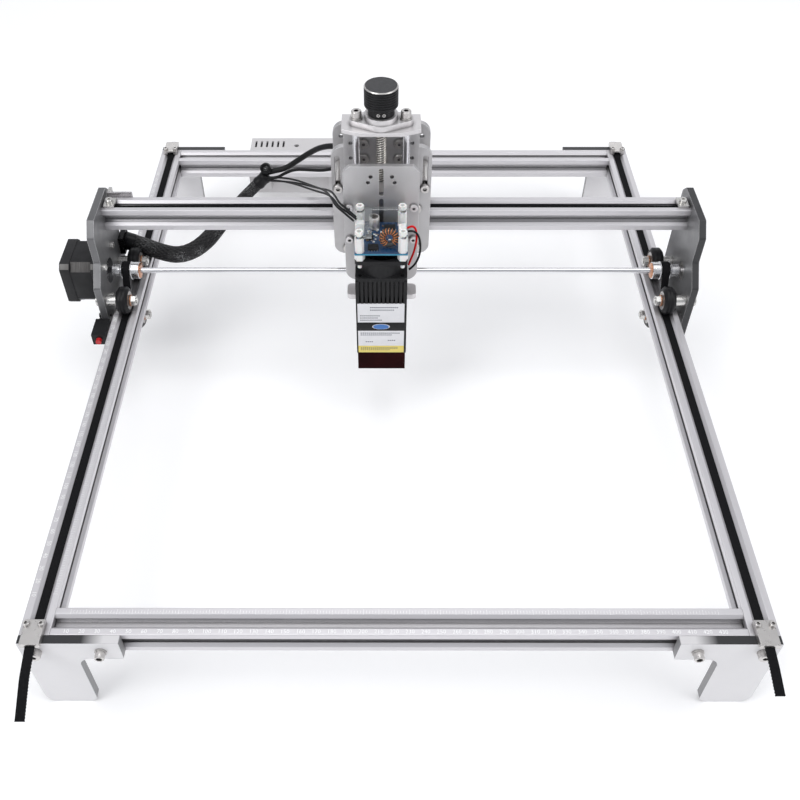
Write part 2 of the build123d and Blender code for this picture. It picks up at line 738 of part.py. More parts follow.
def carriage_fittings():
    """The carriage's spacers and screws, and those of the motor, Z axis and flange bearing."""
    pieces = []
    back = BACK_PLATE_Y + BACK_PLATE_THICK
    for x, z in back_screw_places():
        pieces.append(tube(x, (back, FRONT_PLATE_Y), z, 3.6, 1.6))
        pieces.append(screw_at("-y", x, BACK_PLATE_Y, z, 1.5, FRONT_PLATE_Y + 4.5 - BACK_PLATE_Y, 3.9, 2.5))
    for side in SIDES.values():
        x = CARRIAGE_X + side * CARRIAGE_SLOT_X
        z = CARRIAGE_SLOT_Z[0]
        pieces.append(tube(x, (FRONT_PLATE_Y + CARRIAGE_THICK, REAR_PLATE_Y), z, 3.9, 2.05))
        pieces.append(screw_at("-y", x, FRONT_PLATE_Y, z, 2.0, 44.0, 3.8, 2.6))
        rear = Pos(x, REAR_PLATE_Y + CARRIAGE_THICK, z) * FACING["+y"]
        pieces.append(nut(rear, 7.0, 3.2, 2.05))
    for x in around(CARRIAGE_X, MOTOR_HOLES / 2):
        for z in around(X_PULLEY_Z, MOTOR_HOLES / 2):
            pieces.append(screw_at("-y", x, REAR_PLATE_Y, z, 1.5, CARRIAGE_THICK + 4.5, 2.75, 2.4))
    for side in SIDES.values():
        x = CARRIAGE_X + side * BEARING_HOLE
        seat = Z_TOP + TOP_PLATE + BEARING_BASE
        washer = (seat, seat + 1)
        pieces.append(tube(x, ROD_Y, washer, 4.6, 2.2))
        pieces.append(screw_at("+z", x, ROD_Y, washer[1], 2.0, BEARING_BASE + 2.8, 3.9, 5.0))
    return pieces


def x_switch():
    """The X end switch on the back of the rear carriage plate."""
    rear = REAR_PLATE_Y + CARRIAGE_THICK
    left = CARRIAGE_X - CARRIAGE_WIDTH / 2
    return block((left, left + 6.6), (rear + 4.0, rear + 11), (168.5, 182)) + block(
        (left, left + 6.6), (rear, rear + 4.0), (170, 178))


def z_back_plate():
    """The Z axis's back plate, with a narrower tongue that passes in front of the cross shaft."""
    half = Z_WIDTH / 2
    tongue = 19.0
    corners = [
        (CARRIAGE_X + half, Z_TOP, 0.5),
        (CARRIAGE_X + half, 125, 6),
        (CARRIAGE_X + tongue, 125, 2),
        (CARRIAGE_X + tongue, Z_BOTTOM, 0.5),
        (CARRIAGE_X - tongue, Z_BOTTOM, 0.5),
        (CARRIAGE_X - tongue, 125, 2),
        (CARRIAGE_X - half, 125, 6),
        (CARRIAGE_X - half, Z_TOP, 0.5),
    ]
    plate = Pos(0, BACK_PLATE_Y, 0) * extrude(outline(corners, Plane.XZ), -BACK_PLATE_THICK)
    span = (BACK_PLATE_Y - 1, BACK_PLATE_Y + BACK_PLATE_THICK + 1)
    for x, z in back_screw_places():
        plate -= rod(x, span, z, 1.6)
    for x in around(CARRIAGE_X, 23.5):
        for z in (219.0, 232.0):
            plate -= rod(x, span, z, 1.6)
    return plate


def z_end_plates():
    """The top plate, with its front corners cut off, and the smaller bottom plate."""
    half = Z_WIDTH / 2 + 0.5
    front = 316.0
    top_corners = [
        (CARRIAGE_X - half, TOP_BACK, 0.5),
        (CARRIAGE_X + half, TOP_BACK, 0.5),
        (CARRIAGE_X + half, TOP_FRONT + 5.5, 1),
        (CARRIAGE_X + 15, TOP_FRONT, 1),
        (CARRIAGE_X - 15, TOP_FRONT, 1),
        (CARRIAGE_X - half, TOP_FRONT + 5.5, 1),
    ]
    bottom_corners = [
        (CARRIAGE_X - half, BACK_PLATE_Y, 3.5),
        (CARRIAGE_X + half, BACK_PLATE_Y, 3.5),
        (CARRIAGE_X + half, front, 3.5),
        (CARRIAGE_X - half, front, 3.5),
    ]
    top = Pos(0, 0, Z_TOP) * extrude(outline(top_corners, Plane.XY), TOP_PLATE)
    bottom = Pos(0, 0, Z_BOTTOM) * extrude(outline(bottom_corners, Plane.XY), END_PLATE)
    top_span = (Z_TOP - 1, Z_TOP + TOP_PLATE + 1)
    bottom_span = (Z_BOTTOM - 1, Z_BOTTOM + END_PLATE + 1)
    for side in SIDES.values():
        x = CARRIAGE_X + side * ROD_X
        top -= rod(x, ROD_Y, (Z_TOP - 1, Z_TOP + ROD_SEAT), ROD_R + 0.03)
        bottom -= rod(x, ROD_Y, (Z_BOTTOM + 2, Z_BOTTOM + END_PLATE + 1), ROD_R + 0.03)
        hole = (Z_TOP + TOP_PLATE - 1.9, Z_TOP + TOP_PLATE + 1)
        top -= rod(CARRIAGE_X + side * BEARING_HOLE, ROD_Y, hole, 2.05)
    top -= rod(CARRIAGE_X, ROD_Y, top_span, SCREW_R + 1.5)
    bottom -= rod(CARRIAGE_X, ROD_Y, bottom_span, SCREW_R + RUN)
    return [top, bottom]


def guide_rods():
    return [
        rod(CARRIAGE_X + side * ROD_X, ROD_Y, (Z_BOTTOM + 2.1, Z_TOP + ROD_SEAT - 0.1), ROD_R)
        for side in SIDES.values()
    ]


def flange_bearing():
    """The two-hole flange bearing that holds the lead screw on the top plate."""
    base_z = Z_TOP + TOP_PLATE
    ends = [Pos(side * BEARING_HOLE, 0) * Circle(5.6) for side in SIDES.values()]
    face = make_hull((ends[0] + ends[1] + Circle(13.4)).edges())
    body = Pos(CARRIAGE_X, ROD_Y, base_z) * extrude(face, BEARING_BASE)
    body += rod(CARRIAGE_X, ROD_Y, (base_z, base_z + BEARING_HEIGHT), BEARING_RING_R)
    body -= rod(CARRIAGE_X, ROD_Y, (base_z - 1, base_z + 10), 8.6)
    for side in SIDES.values():
        body -= rod(CARRIAGE_X + side * BEARING_HOLE, ROD_Y, (base_z - 1, base_z + 6), 2.2)
    ring = tube(CARRIAGE_X, ROD_Y, (base_z + 0.6, base_z + BEARING_HEIGHT - 0.9), 8.5, SCREW_R + RUN)
    return [body, ring]


def x_pulley():
    """The X motor's shaft and the pulley on it."""
    place = Pos(CARRIAGE_X, BEAM_Y, X_PULLEY_Z) * FACING["+y"]
    shaft_end = REAR_PLATE_Y + CARRIAGE_THICK + X_MOTOR_LENGTH - 12
    shaft = rod(CARRIAGE_X, (BEAM_Y - 6, shaft_end), X_PULLEY_Z, SHAFT_R)
    return [pulley(place, 1), shaft]


# ---------------------------------------------------------------- Z drive and slider
def lead_screw():
    return rod(CARRIAGE_X, ROD_Y, (Z_BOTTOM - 3, SCREW_TOP), SCREW_R)


def z_knob():
    """The round hand knob and the collar below it."""
    section = [
        (0, KNOB_TOP),
        (KNOB_R - 1.0, KNOB_TOP),
        (KNOB_R, KNOB_TOP - 1.0),
        (KNOB_R, KNOB_TOP - KNOB_LENGTH + 1.2),
        (KNOB_R - 1.2, KNOB_TOP - KNOB_LENGTH),
        (COLLAR_R, KNOB_TOP - KNOB_LENGTH),
        (COLLAR_R, COLLAR_BOTTOM),
        (0, COLLAR_BOTTOM),
    ]
    points = [(r, 0, z) for r, z in section]
    body = revolve(make_face(Polyline(*points, close=True)), Axis.Z)
    bore = rod(0, 0, (COLLAR_BOTTOM - 1, SCREW_TOP + 0.05), SCREW_R + 0.02)
    return Pos(CARRIAGE_X, ROD_Y, 0) * (body - bore)


def slider_plate():
    """The plate that carries the laser, with a split centre slot."""
    half = Z_WIDTH / 2
    corners = [
        (CARRIAGE_X + half - 5, SLIDER_TOP, 0.4),
        (CARRIAGE_X + half, SLIDER_TOP - 5, 0.4),
        (CARRIAGE_X + half, SLIDER_BOTTOM, 10),
        (CARRIAGE_X - half, SLIDER_BOTTOM, 10),
        (CARRIAGE_X - half, SLIDER_TOP - 5, 0.4),
        (CARRIAGE_X - half + 5, SLIDER_TOP, 0.4),
    ]
    plate = Pos(0, SLIDER_Y, 0) * extrude(outline(corners, Plane.XZ), -SLIDER_THICK)
    span = (SLIDER_Y - 1, SLIDER_Y + SLIDER_THICK + 1)
    for low, high in ((206.0, 226.5), (132.0, 200.0)):
        plate -= block(around(CARRIAGE_X, 1.8), span, (low, high))
        plate -= rod(CARRIAGE_X, span, low, 1.8)
        plate -= rod(CARRIAGE_X, span, high, 1.8)
    for spread, z in ((8.0, 221.0), (10.0, 216.0)):
        for x in around(CARRIAGE_X, spread):
            plate -= rod(x, span, z, 1.6)
    for x in around(CARRIAGE_X, SLIDER_SCREW_X):
        for z in SLIDER_SCREW_Z:
            plate -= rod(x, span, z, 1.6)
    return plate


def slider_block():
    """The sliding block with its guide bushings, the screw's nut and the plate's screws."""
    half = 27.5
    front = SLIDER_Y + SLIDER_THICK
    z_span = (BLOCK_BOTTOM, BLOCK_TOP)
    body = block(around(CARRIAGE_X, half), (front, BLOCK_BACK), z_span)
    body -= rod(CARRIAGE_X, ROD_Y, z_span, SCREW_R + 1.0)
    pieces = []
    for side in SIDES.values():
        x = CARRIAGE_X + side * ROD_X
        body -= rod(x, ROD_Y, z_span, ROD_R + 1.0)
        for z in ((BLOCK_BOTTOM, BLOCK_BOTTOM + 15), (BLOCK_TOP - 15, BLOCK_TOP)):
            pieces.append(tube(x, ROD_Y, z, ROD_R + 0.95, ROD_R + RUN))
    for z in ((BLOCK_BOTTOM, BLOCK_BOTTOM + 12), (BLOCK_TOP - 12, BLOCK_TOP)):
        pieces.append(tube(CARRIAGE_X, ROD_Y, z, SCREW_R + 0.95, SCREW_R + RUN))
    for x in around(CARRIAGE_X, SLIDER_SCREW_X):
        for z in SLIDER_SCREW_Z:
            body -= rod(x, (front - 1, front + 9), z, 1.6)
            pieces.append(screw_at("-y", x, SLIDER_Y, z, 1.5, SLIDER_THICK + 8, 3.1, 2.6))
    return [body] + pieces


# ---------------------------------------------------------------- laser head
def laser_housing():
    """The finned heat-sink body, with a pad at its back for the slider plate."""
    half = LASER / 2
    z_span = (HOUSING_BOTTOM, HOUSING_TOP)
    body = block(around(CARRIAGE_X, half), around(LASER_Y, half), z_span)
    fin_count = 11
    pitch = LASER / (fin_count + 1)
    groove = 1.3
    depth = 4.0
    cut_z = (HOUSING_BOTTOM - 1, HOUSING_TOP + 1)
    for index in range(fin_count):
        offset = (index - (fin_count - 1) / 2) * pitch
        x = CARRIAGE_X + offset
        body -= block(around(x, groove / 2), (LASER_Y - half - 1, LASER_Y - half + depth), cut_z)
        if abs(offset) < half - depth:
            y = LASER_Y + offset
            body -= block((CARRIAGE_X - half - 1, CARRIAGE_X - half + depth), around(y, groove / 2), cut_z)
            body -= block((CARRIAGE_X + half - depth, CARRIAGE_X + half + 1), around(y, groove / 2), cut_z)
    body += block(around(CARRIAGE_X, 13), (LASER_Y + half, SLIDER_Y), (128, 152))
    body -= rod(CARRIAGE_X, LASER_Y, (HOUSING_BOTTOM - 1, HOUSING_TOP - 18), 6.0)
    return body


def laser_lens():
    """The lens in its barrel, low in the housing's bore."""
    barrel = tube(CARRIAGE_X, LASER_Y, (HOUSING_BOTTOM - 6, HOUSING_BOTTOM + 12), 5.9, 4.1)
    glass = rod(CARRIAGE_X, LASER_Y, (HOUSING_BOTTOM - 3, HOUSING_BOTTOM - 1), 4.0)
    return [barrel, glass]


def laser_shield():
    """The open tinted skirt round the beam, under the housing."""
    half = LASER / 2 - 0.6
    wall = 2.4
    z_span = (SHIELD_BOTTOM, HOUSING_BOTTOM)
    skirt = block(around(CARRIAGE_X, half), around(LASER_Y, half), z_span)
    inner = half - wall
    cut_z = (SHIELD_BOTTOM - 1, HOUSING_BOTTOM + 1)
    return skirt - block(around(CARRIAGE_X, inner), around(LASER_Y, inner), cut_z)


def post_places():
    return [
        (CARRIAGE_X + u * POST_PITCH / 2, LASER_Y + v * POST_PITCH / 2)
        for u in (-1, 1)
        for v in (-1, 1)
    ]


def fan_frame():
    """The square fan frame: two flanges, a round wall, a hub on three struts, corner posts."""
    base = HOUSING_TOP
    flange = 3.4
    square = RectangleRounded(LASER, LASER, 3.0)
    frame = Pos(0, 0, base) * extrude(square, flange)
    frame += Pos(0, 0, FAN_TOP - flange) * extrude(square, flange)
    frame += Pos(0, 0, base) * extrude(Circle(LASER / 2 - 0.1), FAN_TOP - base)
    frame -= Pos(0, 0, (base + FAN_TOP) / 2) * Cylinder(FAN_BORE, FAN_TOP - base)
    strut_top = 2.4
    for turn in (30, 150, 270):
        strut = Pos(FAN_BORE / 2 + 1.5, 0, base + strut_top / 2) * Box(FAN_BORE - 1, 2.6, strut_top)
        frame += Rot(0, 0, turn) * strut
    frame += Pos(0, 0, base + strut_top / 2) * Cylinder(9.0, strut_top)
    frame = Pos(CARRIAGE_X, LASER_Y, 0) * frame
    for x, y in post_places():
        frame -= rod(x, y, (base - 1, FAN_TOP + 1), 1.7)
    return frame


def fan_rotor():
    """The fan's hub and seven blades."""
    low = HOUSING_TOP + 3.0
    high = FAN_TOP - 1.5
    hub = Pos(0, 0, (low + high) / 2) * Cylinder(9.6, high - low)
    blade_count = 7
    for index in range(blade_count):
        blade = Pos(13.2, 0, (low + high) / 2) * Rot(38, 0, 0) * Box(8.6, 1.2, 12.5)
        hub += Rot(0, 0, 360 / blade_count * index) * blade
    return Pos(CARRIAGE_X, LASER_Y, 0) * hub


def toroid_centre():
    return (CARRIAGE_X + 6.0, LASER_Y - 11.5)


def driver_board():
    """The driver board with its capacitor, choke, sockets and chips."""
    half = LASER / 2
    top = BOARD_Z + BOARD_THICK
    board = block(around(CARRIAGE_X, half), around(LASER_Y, half), (BOARD_Z, top))
    for x, y in post_places():
        board -= rod(x, y, (BOARD_Z - 1, top + 1), 1.7)
    choke_x, choke_y = toroid_centre()
    tall = 8.4
    pieces = [
        board,
        rod(CARRIAGE_X - 5.4, LASER_Y + 12.6, (top, top + 10.5), 4.0),
        Pos(choke_x, choke_y, top + tall) * Rot(75, 0, 12) * Torus(5.2, 2.6),
        block(around(CARRIAGE_X - 16.4, 3.4), (LASER_Y + 5.0, LASER_Y + 10.5), (top, top + 8)),
        block(around(CARRIAGE_X + 16.2, 3.0), (LASER_Y + 2.5, LASER_Y + 9.5), (top, top + 6)),
        block(around(CARRIAGE_X - 6, 4.0), around(LASER_Y - 13.0, 3.2), (top, top + 1.8)),
        block(around(CARRIAGE_X + 6.5, 4.2), around(LASER_Y + 12, 3.0), (top, top + 1.6)),
        block(around(CARRIAGE_X - 9, 3.0), around(LASER_Y - 1, 2.4), (top, top + 1.6)),
    ]
    return pieces


def board_standoffs():
    """The nylon nuts, standoffs and screws that stack the board and the cover on the fan."""
    pieces = []
    top = BOARD_Z + BOARD_THICK
    cover_top = COVER_Z + COVER_THICK
    for x, y in post_places():
        foot = nut(Pos(x, y, FAN_TOP), 7.0, BOARD_Z - FAN_TOP, 1.65)
        post = nut(Pos(x, y, top), 6.0, COVER_Z - top, 1.65)
        shank = rod(x, y, (FAN_TOP - 8, cover_top), 1.6)
        cap = nut(Pos(x, y, cover_top), 5.6, 3.2, 1.65)
        pieces += [foot, post, shank, cap]
    return pieces


def board_cover():
    """The clear cover plate above the board."""
    half = LASER / 2 - 1.5
    plate = block(around(CARRIAGE_X, half), around(LASER_Y, half), (COVER_Z, COVER_Z + COVER_THICK))
    for x, y in post_places():
        plate -= rod(x, y, (COVER_Z - 1, COVER_Z + COVER_THICK + 1), 1.7)
    window = block(around(CARRIAGE_X + 4, 11), (LASER_Y - 20, LASER_Y + 17.5), (COVER_Z - 1, COVER_Z + 4))
    return plate - window


# ---------------------------------------------------------------- controller
def controller_case():
    """The open tray of the controller and the two ears that hang it from the rear rail."""
    tray = block(CASE_X, CASE_Y, (CASE_Z[0], CASE_Z[1] - CASE_WALL))
    inner = [(low + CASE_WALL, high - CASE_WALL) for low, high in (CASE_X, CASE_Y)]
    tray -= block(inner[0], inner[1], (CASE_Z[0] + CASE_WALL, CASE_Z[1]))
    for x, y in board_posts():
        tray += rod(x, y, (CASE_Z[0] + CASE_WALL, CASE_Z[0] + 7), 2.6)
    ears = []
    for x in EAR_X:
        ear = block(around(x, 8), (FRAME_DEPTH, CASE_Y[0]), (CASE_Z[0] + 8, RAIL_TOP - 2))
        ears.append(ear - rod(x, (FRAME_DEPTH - 1, CASE_Y[0] + 1), RAIL_Z, 2.7))
    return [tray] + ears


def board_posts():
    return [
        (x, y)
        for x in (CASE_X[0] + 10, CASE_X[1] - 10)
        for y in (CASE_Y[0] + 9, CASE_Y[1] - 9)
    ]


def controller_board():
    """The controller's circuit board with its driver chips and socket rows."""
    low = CASE_Z[0] + 7
    board = block((CASE_X[0] + 5, CASE_X[1] - 5), (CASE_Y[0] + 4, CASE_Y[1] - 4), (low, low + 1.6))
    pieces = [board]
    for x in (-130.0, -108.0, -86.0):
        pieces.append(block(around(x, 7), around(592.0, 7), (low + 1.6, low + 12)))
    pieces.append(block((-140, -70), around(610.0, 3.5), (low + 1.6, low + 10)))
    return pieces


def controller_lid():
    """The flat lid with six vent slots and a round hole for the power lead's socket."""
    lid = block(CASE_X, CASE_Y, (CASE_Z[1] - CASE_WALL, CASE_Z[1]))
    cut_z = (CASE_Z[1] - CASE_WALL - 1, CASE_Z[1] + 1)
    for index in range(VENT_COUNT):
        x = VENT_START + VENT_PITCH * index
        lid -= block(around(x, 1.1), (603.0, 615.0), cut_z)
    return lid - rod(-106.0, 606.0, cut_z, 2.6)


# ---------------------------------------------------------------- cords
def corner_radii(points):
    """The largest tangent arcs: 0.45 of the shorter run over the tangent of half the turn."""
    radii = []
    for before, here, after in zip(points, points[1:], points[2:]):
        first = Vector(*here) - Vector(*before)
        second = Vector(*after) - Vector(*here)
        turn = math.radians(first.get_angle(second))
        radii.append(0.45 * min(first.length, second.length) / math.tan(turn / 2))
    return radii


def cord(name, points, diameter):
    """A round cord along straight runs joined by tangent arcs."""
    radii = corner_radii(points)
    path = FilletPolyline(*points, radius=radii)
    print(name, "length %.0f" % path.length, "radii", [round(radius) for radius in radii])
    plane = Plane(origin=path.position_at(0), z_dir=path.tangent_at(0))
    solid = sweep(plane * Circle(diameter / 2), path=path)
    expected = math.pi * diameter * diameter / 4 * path.length
    print(name, "volume over section times length %.4f" % (solid.volume / expected))
    return solid


def harness_sleeve():
    return cord("harness_sleeve", SLEEVE_ROUTE, SLEEVE_D)


def carriage_leads():
    return [
        cord("motor_lead", MOTOR_LEAD_ROUTE, MOTOR_LEAD_D),
        cord("switch_lead", SWITCH_LEAD_ROUTE, SWITCH_LEAD_D),
        cord("laser_lead", LASER_LEAD_ROUTE, LASER_LEAD_D),
    ]


def fan_wires():
    return [
        cord("red_wire", RED_WIRE_ROUTE, WIRE_D),
        cord("black_wire", BLACK_WIRE_ROUTE, WIRE_D),
    ]


# ---------------------------------------------------------------- assembly
def y_motor():
    place = Pos(-GANTRY_OUTER, SHAFT_Y, SHAFT_Z) * FACING["+x"] * Rot(0, 0, 90)
    return stepper(place, Y_MOTOR_LENGTH)


def x_motor():
    place = Pos(CARRIAGE_X, REAR_PLATE_Y + CARRIAGE_THICK, X_PULLEY_Z) * FACING["-y"] * Rot(0, 0, -90)
    return stepper(place, X_MOTOR_LENGTH)


def build_nodes():
    """Every node's name and its solid or list of solids, in bench coordinates."""
    nodes = {
        "front_rail": rail_along_x(RAIL / 2, RAIL_Z, SIDE_X - RAIL / 2),
        "rear_rail": rail_along_x(FRAME_DEPTH - RAIL / 2, RAIL_Z, SIDE_X - RAIL / 2),
        "left_rail": rail_along_y(-SIDE_X, RAIL_Z, 0, FRAME_DEPTH),
        "right_rail": rail_along_y(SIDE_X, RAIL_Z, 0, FRAME_DEPTH),
        "foot_plates": foot_plates(),
        "frame_fasteners": frame_fasteners(),
        "y_belts": y_belts(),
        "controller_case": controller_case(),
        "controller_lid": controller_lid(),
        "controller_board": controller_board(),
        "left_side_plate": side_plate(-1),
        "right_side_plate": side_plate(1),
        "cross_beam": rail_along_x(BEAM_Y, BEAM_Z, GANTRY_INNER),
        "gantry_fittings": gantry_fittings(),
        "side_axles": side_axles(),
        "y_motor": y_motor(),
        "y_belt_loops": y_belt_loops(),
        "x_belt": x_belt(),
        "shaft_bearing": shaft_bearing(),
        "limit_switch": limit_switch(),
        "limit_switch_button": limit_switch_button(),
        "cross_shaft": cross_shaft(),
        "y_pulleys": y_pulleys(),
        "carriage_front_plate": carriage_plate(FRONT_PLATE_Y, True, False),
        "carriage_rear_plate": carriage_plate(REAR_PLATE_Y, False, True),
        "carriage_axles": carriage_axles(),
        "carriage_fittings": carriage_fittings(),
        "x_switch": x_switch(),
        "x_motor": x_motor(),
        "x_belt_loop": x_belt_loop(),
        "x_pulley": x_pulley(),
        "z_back_plate": z_back_plate(),
        "z_end_plates": z_end_plates(),
        "guide_rods": guide_rods(),
        "flange_bearing": flange_bearing(),
        "lead_screw": lead_screw(),
        "z_knob": z_knob(),
        "slider_plate": slider_plate(),
        "slider_block": slider_block(),
        "laser_housing": laser_housing(),
        "laser_lens": laser_lens(),
        "laser_shield": laser_shield(),
        "fan_frame": fan_frame(),
        "fan_rotor": fan_rotor(),
        "driver_board": driver_board(),
        "board_standoffs": board_standoffs(),
        "board_cover": board_cover(),
        "harness_sleeve": harness_sleeve(),
        "carriage_leads": carriage_leads(),
        "fan_wires": fan_wires(),
    }
    for side_name, side in SIDES.items():
        for wheel_name, y, z in side_wheel_places():
            place = Pos(side * SIDE_X, y, z) * FACING["+x"]
            nodes[side_name + "_" + wheel_name + "_wheel"] = v_wheel(place)
    for wheel_name, x, z in carriage_wheel_places():
        nodes["carriage_" + wheel_name + "_wheel"] = v_wheel(Pos(x, BEAM_Y, z) * FACING["+y"])
    return nodes


CORD_NODES = ("harness_sleeve", "carriage_leads", "fan_wires")


def as_compound(shape):
    """One compound of the separate solids of a node."""
    members = shape if isinstance(shape, list) else [shape]
    solids = [solid for member in members for solid in member.solids()]
    return Compound(children=solids)


def box_middle(nodes):
    """The middle in X and Y of the box round everything but the cords."""
    boxes = [shape.bounding_box() for name, shape in nodes.items() if name not in CORD_NODES]
    x = (min(box.min.X for box in boxes) + max(box.max.X for box in boxes)) / 2
    y = (min(box.min.Y for box in boxes) + max(box.max.Y for box in boxes)) / 2
    return x, y


def main():
    """Write every node with the origin under the middle of the box, at the feet."""
    nodes = {name: as_compound(shape) for name, shape in build_nodes().items()}
    x, y = box_middle(nodes)
    print("nodes", len(nodes), "origin in bench coordinates %.3f %.3f" % (x, y))
    os.makedirs("parts", exist_ok=True)
    for name, shape in nodes.items():
        export_step(shape.moved(Location((-x, -y, 0))), "parts/" + name + ".step")


if __name__ == "__main__":
    main()
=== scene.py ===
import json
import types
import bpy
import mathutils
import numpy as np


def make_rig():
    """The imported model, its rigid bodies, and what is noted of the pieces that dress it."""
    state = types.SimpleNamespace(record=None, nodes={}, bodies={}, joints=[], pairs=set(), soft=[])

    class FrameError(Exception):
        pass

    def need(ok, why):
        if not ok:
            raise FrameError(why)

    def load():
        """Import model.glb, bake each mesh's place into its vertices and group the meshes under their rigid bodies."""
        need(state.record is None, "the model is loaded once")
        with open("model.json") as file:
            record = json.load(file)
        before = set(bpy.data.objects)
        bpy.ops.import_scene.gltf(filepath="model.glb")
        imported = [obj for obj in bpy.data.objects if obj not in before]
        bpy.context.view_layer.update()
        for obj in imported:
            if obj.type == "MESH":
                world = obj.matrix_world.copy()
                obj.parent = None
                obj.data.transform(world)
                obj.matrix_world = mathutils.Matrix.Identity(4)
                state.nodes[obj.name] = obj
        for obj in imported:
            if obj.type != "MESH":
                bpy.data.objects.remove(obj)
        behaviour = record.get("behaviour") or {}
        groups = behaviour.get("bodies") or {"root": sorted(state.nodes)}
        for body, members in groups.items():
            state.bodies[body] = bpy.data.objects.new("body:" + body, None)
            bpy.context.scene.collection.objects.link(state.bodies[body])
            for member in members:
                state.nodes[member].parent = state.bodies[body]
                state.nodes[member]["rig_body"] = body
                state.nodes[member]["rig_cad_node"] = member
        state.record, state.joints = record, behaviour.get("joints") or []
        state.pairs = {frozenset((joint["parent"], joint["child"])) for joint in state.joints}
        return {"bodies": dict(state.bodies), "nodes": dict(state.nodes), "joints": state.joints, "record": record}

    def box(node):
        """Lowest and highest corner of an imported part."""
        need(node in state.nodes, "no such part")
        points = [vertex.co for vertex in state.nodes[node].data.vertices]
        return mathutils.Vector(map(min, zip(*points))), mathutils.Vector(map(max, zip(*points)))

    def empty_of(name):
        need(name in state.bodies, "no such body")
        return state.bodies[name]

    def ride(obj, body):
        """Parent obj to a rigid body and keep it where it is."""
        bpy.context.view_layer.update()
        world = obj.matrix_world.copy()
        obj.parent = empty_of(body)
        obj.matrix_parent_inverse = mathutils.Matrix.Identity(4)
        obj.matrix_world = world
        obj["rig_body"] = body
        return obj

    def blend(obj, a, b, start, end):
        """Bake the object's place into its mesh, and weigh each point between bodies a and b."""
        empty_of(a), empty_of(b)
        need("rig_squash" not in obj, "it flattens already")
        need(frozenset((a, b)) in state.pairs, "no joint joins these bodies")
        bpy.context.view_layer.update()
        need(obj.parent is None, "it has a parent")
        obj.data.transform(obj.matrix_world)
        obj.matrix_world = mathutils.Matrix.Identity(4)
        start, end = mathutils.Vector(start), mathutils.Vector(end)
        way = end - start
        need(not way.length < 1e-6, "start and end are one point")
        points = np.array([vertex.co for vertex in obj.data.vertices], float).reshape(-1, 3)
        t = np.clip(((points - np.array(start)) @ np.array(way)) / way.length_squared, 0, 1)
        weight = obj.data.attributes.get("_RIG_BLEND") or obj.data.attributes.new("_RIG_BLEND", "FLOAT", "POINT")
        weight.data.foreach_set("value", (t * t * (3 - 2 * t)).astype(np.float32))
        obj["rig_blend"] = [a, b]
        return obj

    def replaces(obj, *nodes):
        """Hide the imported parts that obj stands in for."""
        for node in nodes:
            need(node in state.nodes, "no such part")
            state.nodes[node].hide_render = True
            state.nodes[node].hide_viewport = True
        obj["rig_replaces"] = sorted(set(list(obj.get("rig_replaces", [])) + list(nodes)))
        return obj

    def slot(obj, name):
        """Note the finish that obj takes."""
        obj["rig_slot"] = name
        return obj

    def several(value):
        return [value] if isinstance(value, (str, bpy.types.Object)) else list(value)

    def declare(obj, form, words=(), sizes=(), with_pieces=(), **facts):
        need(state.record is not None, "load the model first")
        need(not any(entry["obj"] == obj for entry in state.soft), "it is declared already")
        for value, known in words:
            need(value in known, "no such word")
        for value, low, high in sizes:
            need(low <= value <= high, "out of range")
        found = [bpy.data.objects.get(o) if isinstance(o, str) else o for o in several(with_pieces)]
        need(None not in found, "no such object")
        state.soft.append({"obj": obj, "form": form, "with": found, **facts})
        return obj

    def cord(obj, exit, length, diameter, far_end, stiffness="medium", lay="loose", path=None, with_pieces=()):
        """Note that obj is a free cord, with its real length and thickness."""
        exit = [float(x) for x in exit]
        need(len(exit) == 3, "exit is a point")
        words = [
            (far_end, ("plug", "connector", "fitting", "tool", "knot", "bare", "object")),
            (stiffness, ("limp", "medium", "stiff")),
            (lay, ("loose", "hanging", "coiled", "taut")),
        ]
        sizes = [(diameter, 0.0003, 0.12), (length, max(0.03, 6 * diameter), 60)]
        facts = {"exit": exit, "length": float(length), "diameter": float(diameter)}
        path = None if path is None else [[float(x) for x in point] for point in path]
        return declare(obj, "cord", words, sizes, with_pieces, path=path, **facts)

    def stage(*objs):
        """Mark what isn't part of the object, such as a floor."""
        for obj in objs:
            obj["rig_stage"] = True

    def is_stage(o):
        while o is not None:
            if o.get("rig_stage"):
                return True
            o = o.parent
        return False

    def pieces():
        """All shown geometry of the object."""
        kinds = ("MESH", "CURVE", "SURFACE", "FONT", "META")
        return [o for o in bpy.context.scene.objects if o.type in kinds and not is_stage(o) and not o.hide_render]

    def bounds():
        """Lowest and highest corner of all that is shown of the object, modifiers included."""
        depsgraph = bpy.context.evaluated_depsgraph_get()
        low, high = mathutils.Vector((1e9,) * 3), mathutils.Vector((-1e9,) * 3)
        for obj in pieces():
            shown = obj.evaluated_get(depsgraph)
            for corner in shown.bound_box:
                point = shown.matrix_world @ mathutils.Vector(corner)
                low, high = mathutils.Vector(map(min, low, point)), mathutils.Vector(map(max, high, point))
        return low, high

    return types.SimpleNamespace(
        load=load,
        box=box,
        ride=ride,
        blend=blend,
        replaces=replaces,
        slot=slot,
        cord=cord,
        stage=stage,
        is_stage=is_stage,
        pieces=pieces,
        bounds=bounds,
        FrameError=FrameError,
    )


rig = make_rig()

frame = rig.load()

import json
import math
import random

import bmesh
import bpy
from mathutils import Matrix, Vector

cad_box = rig.bounds()

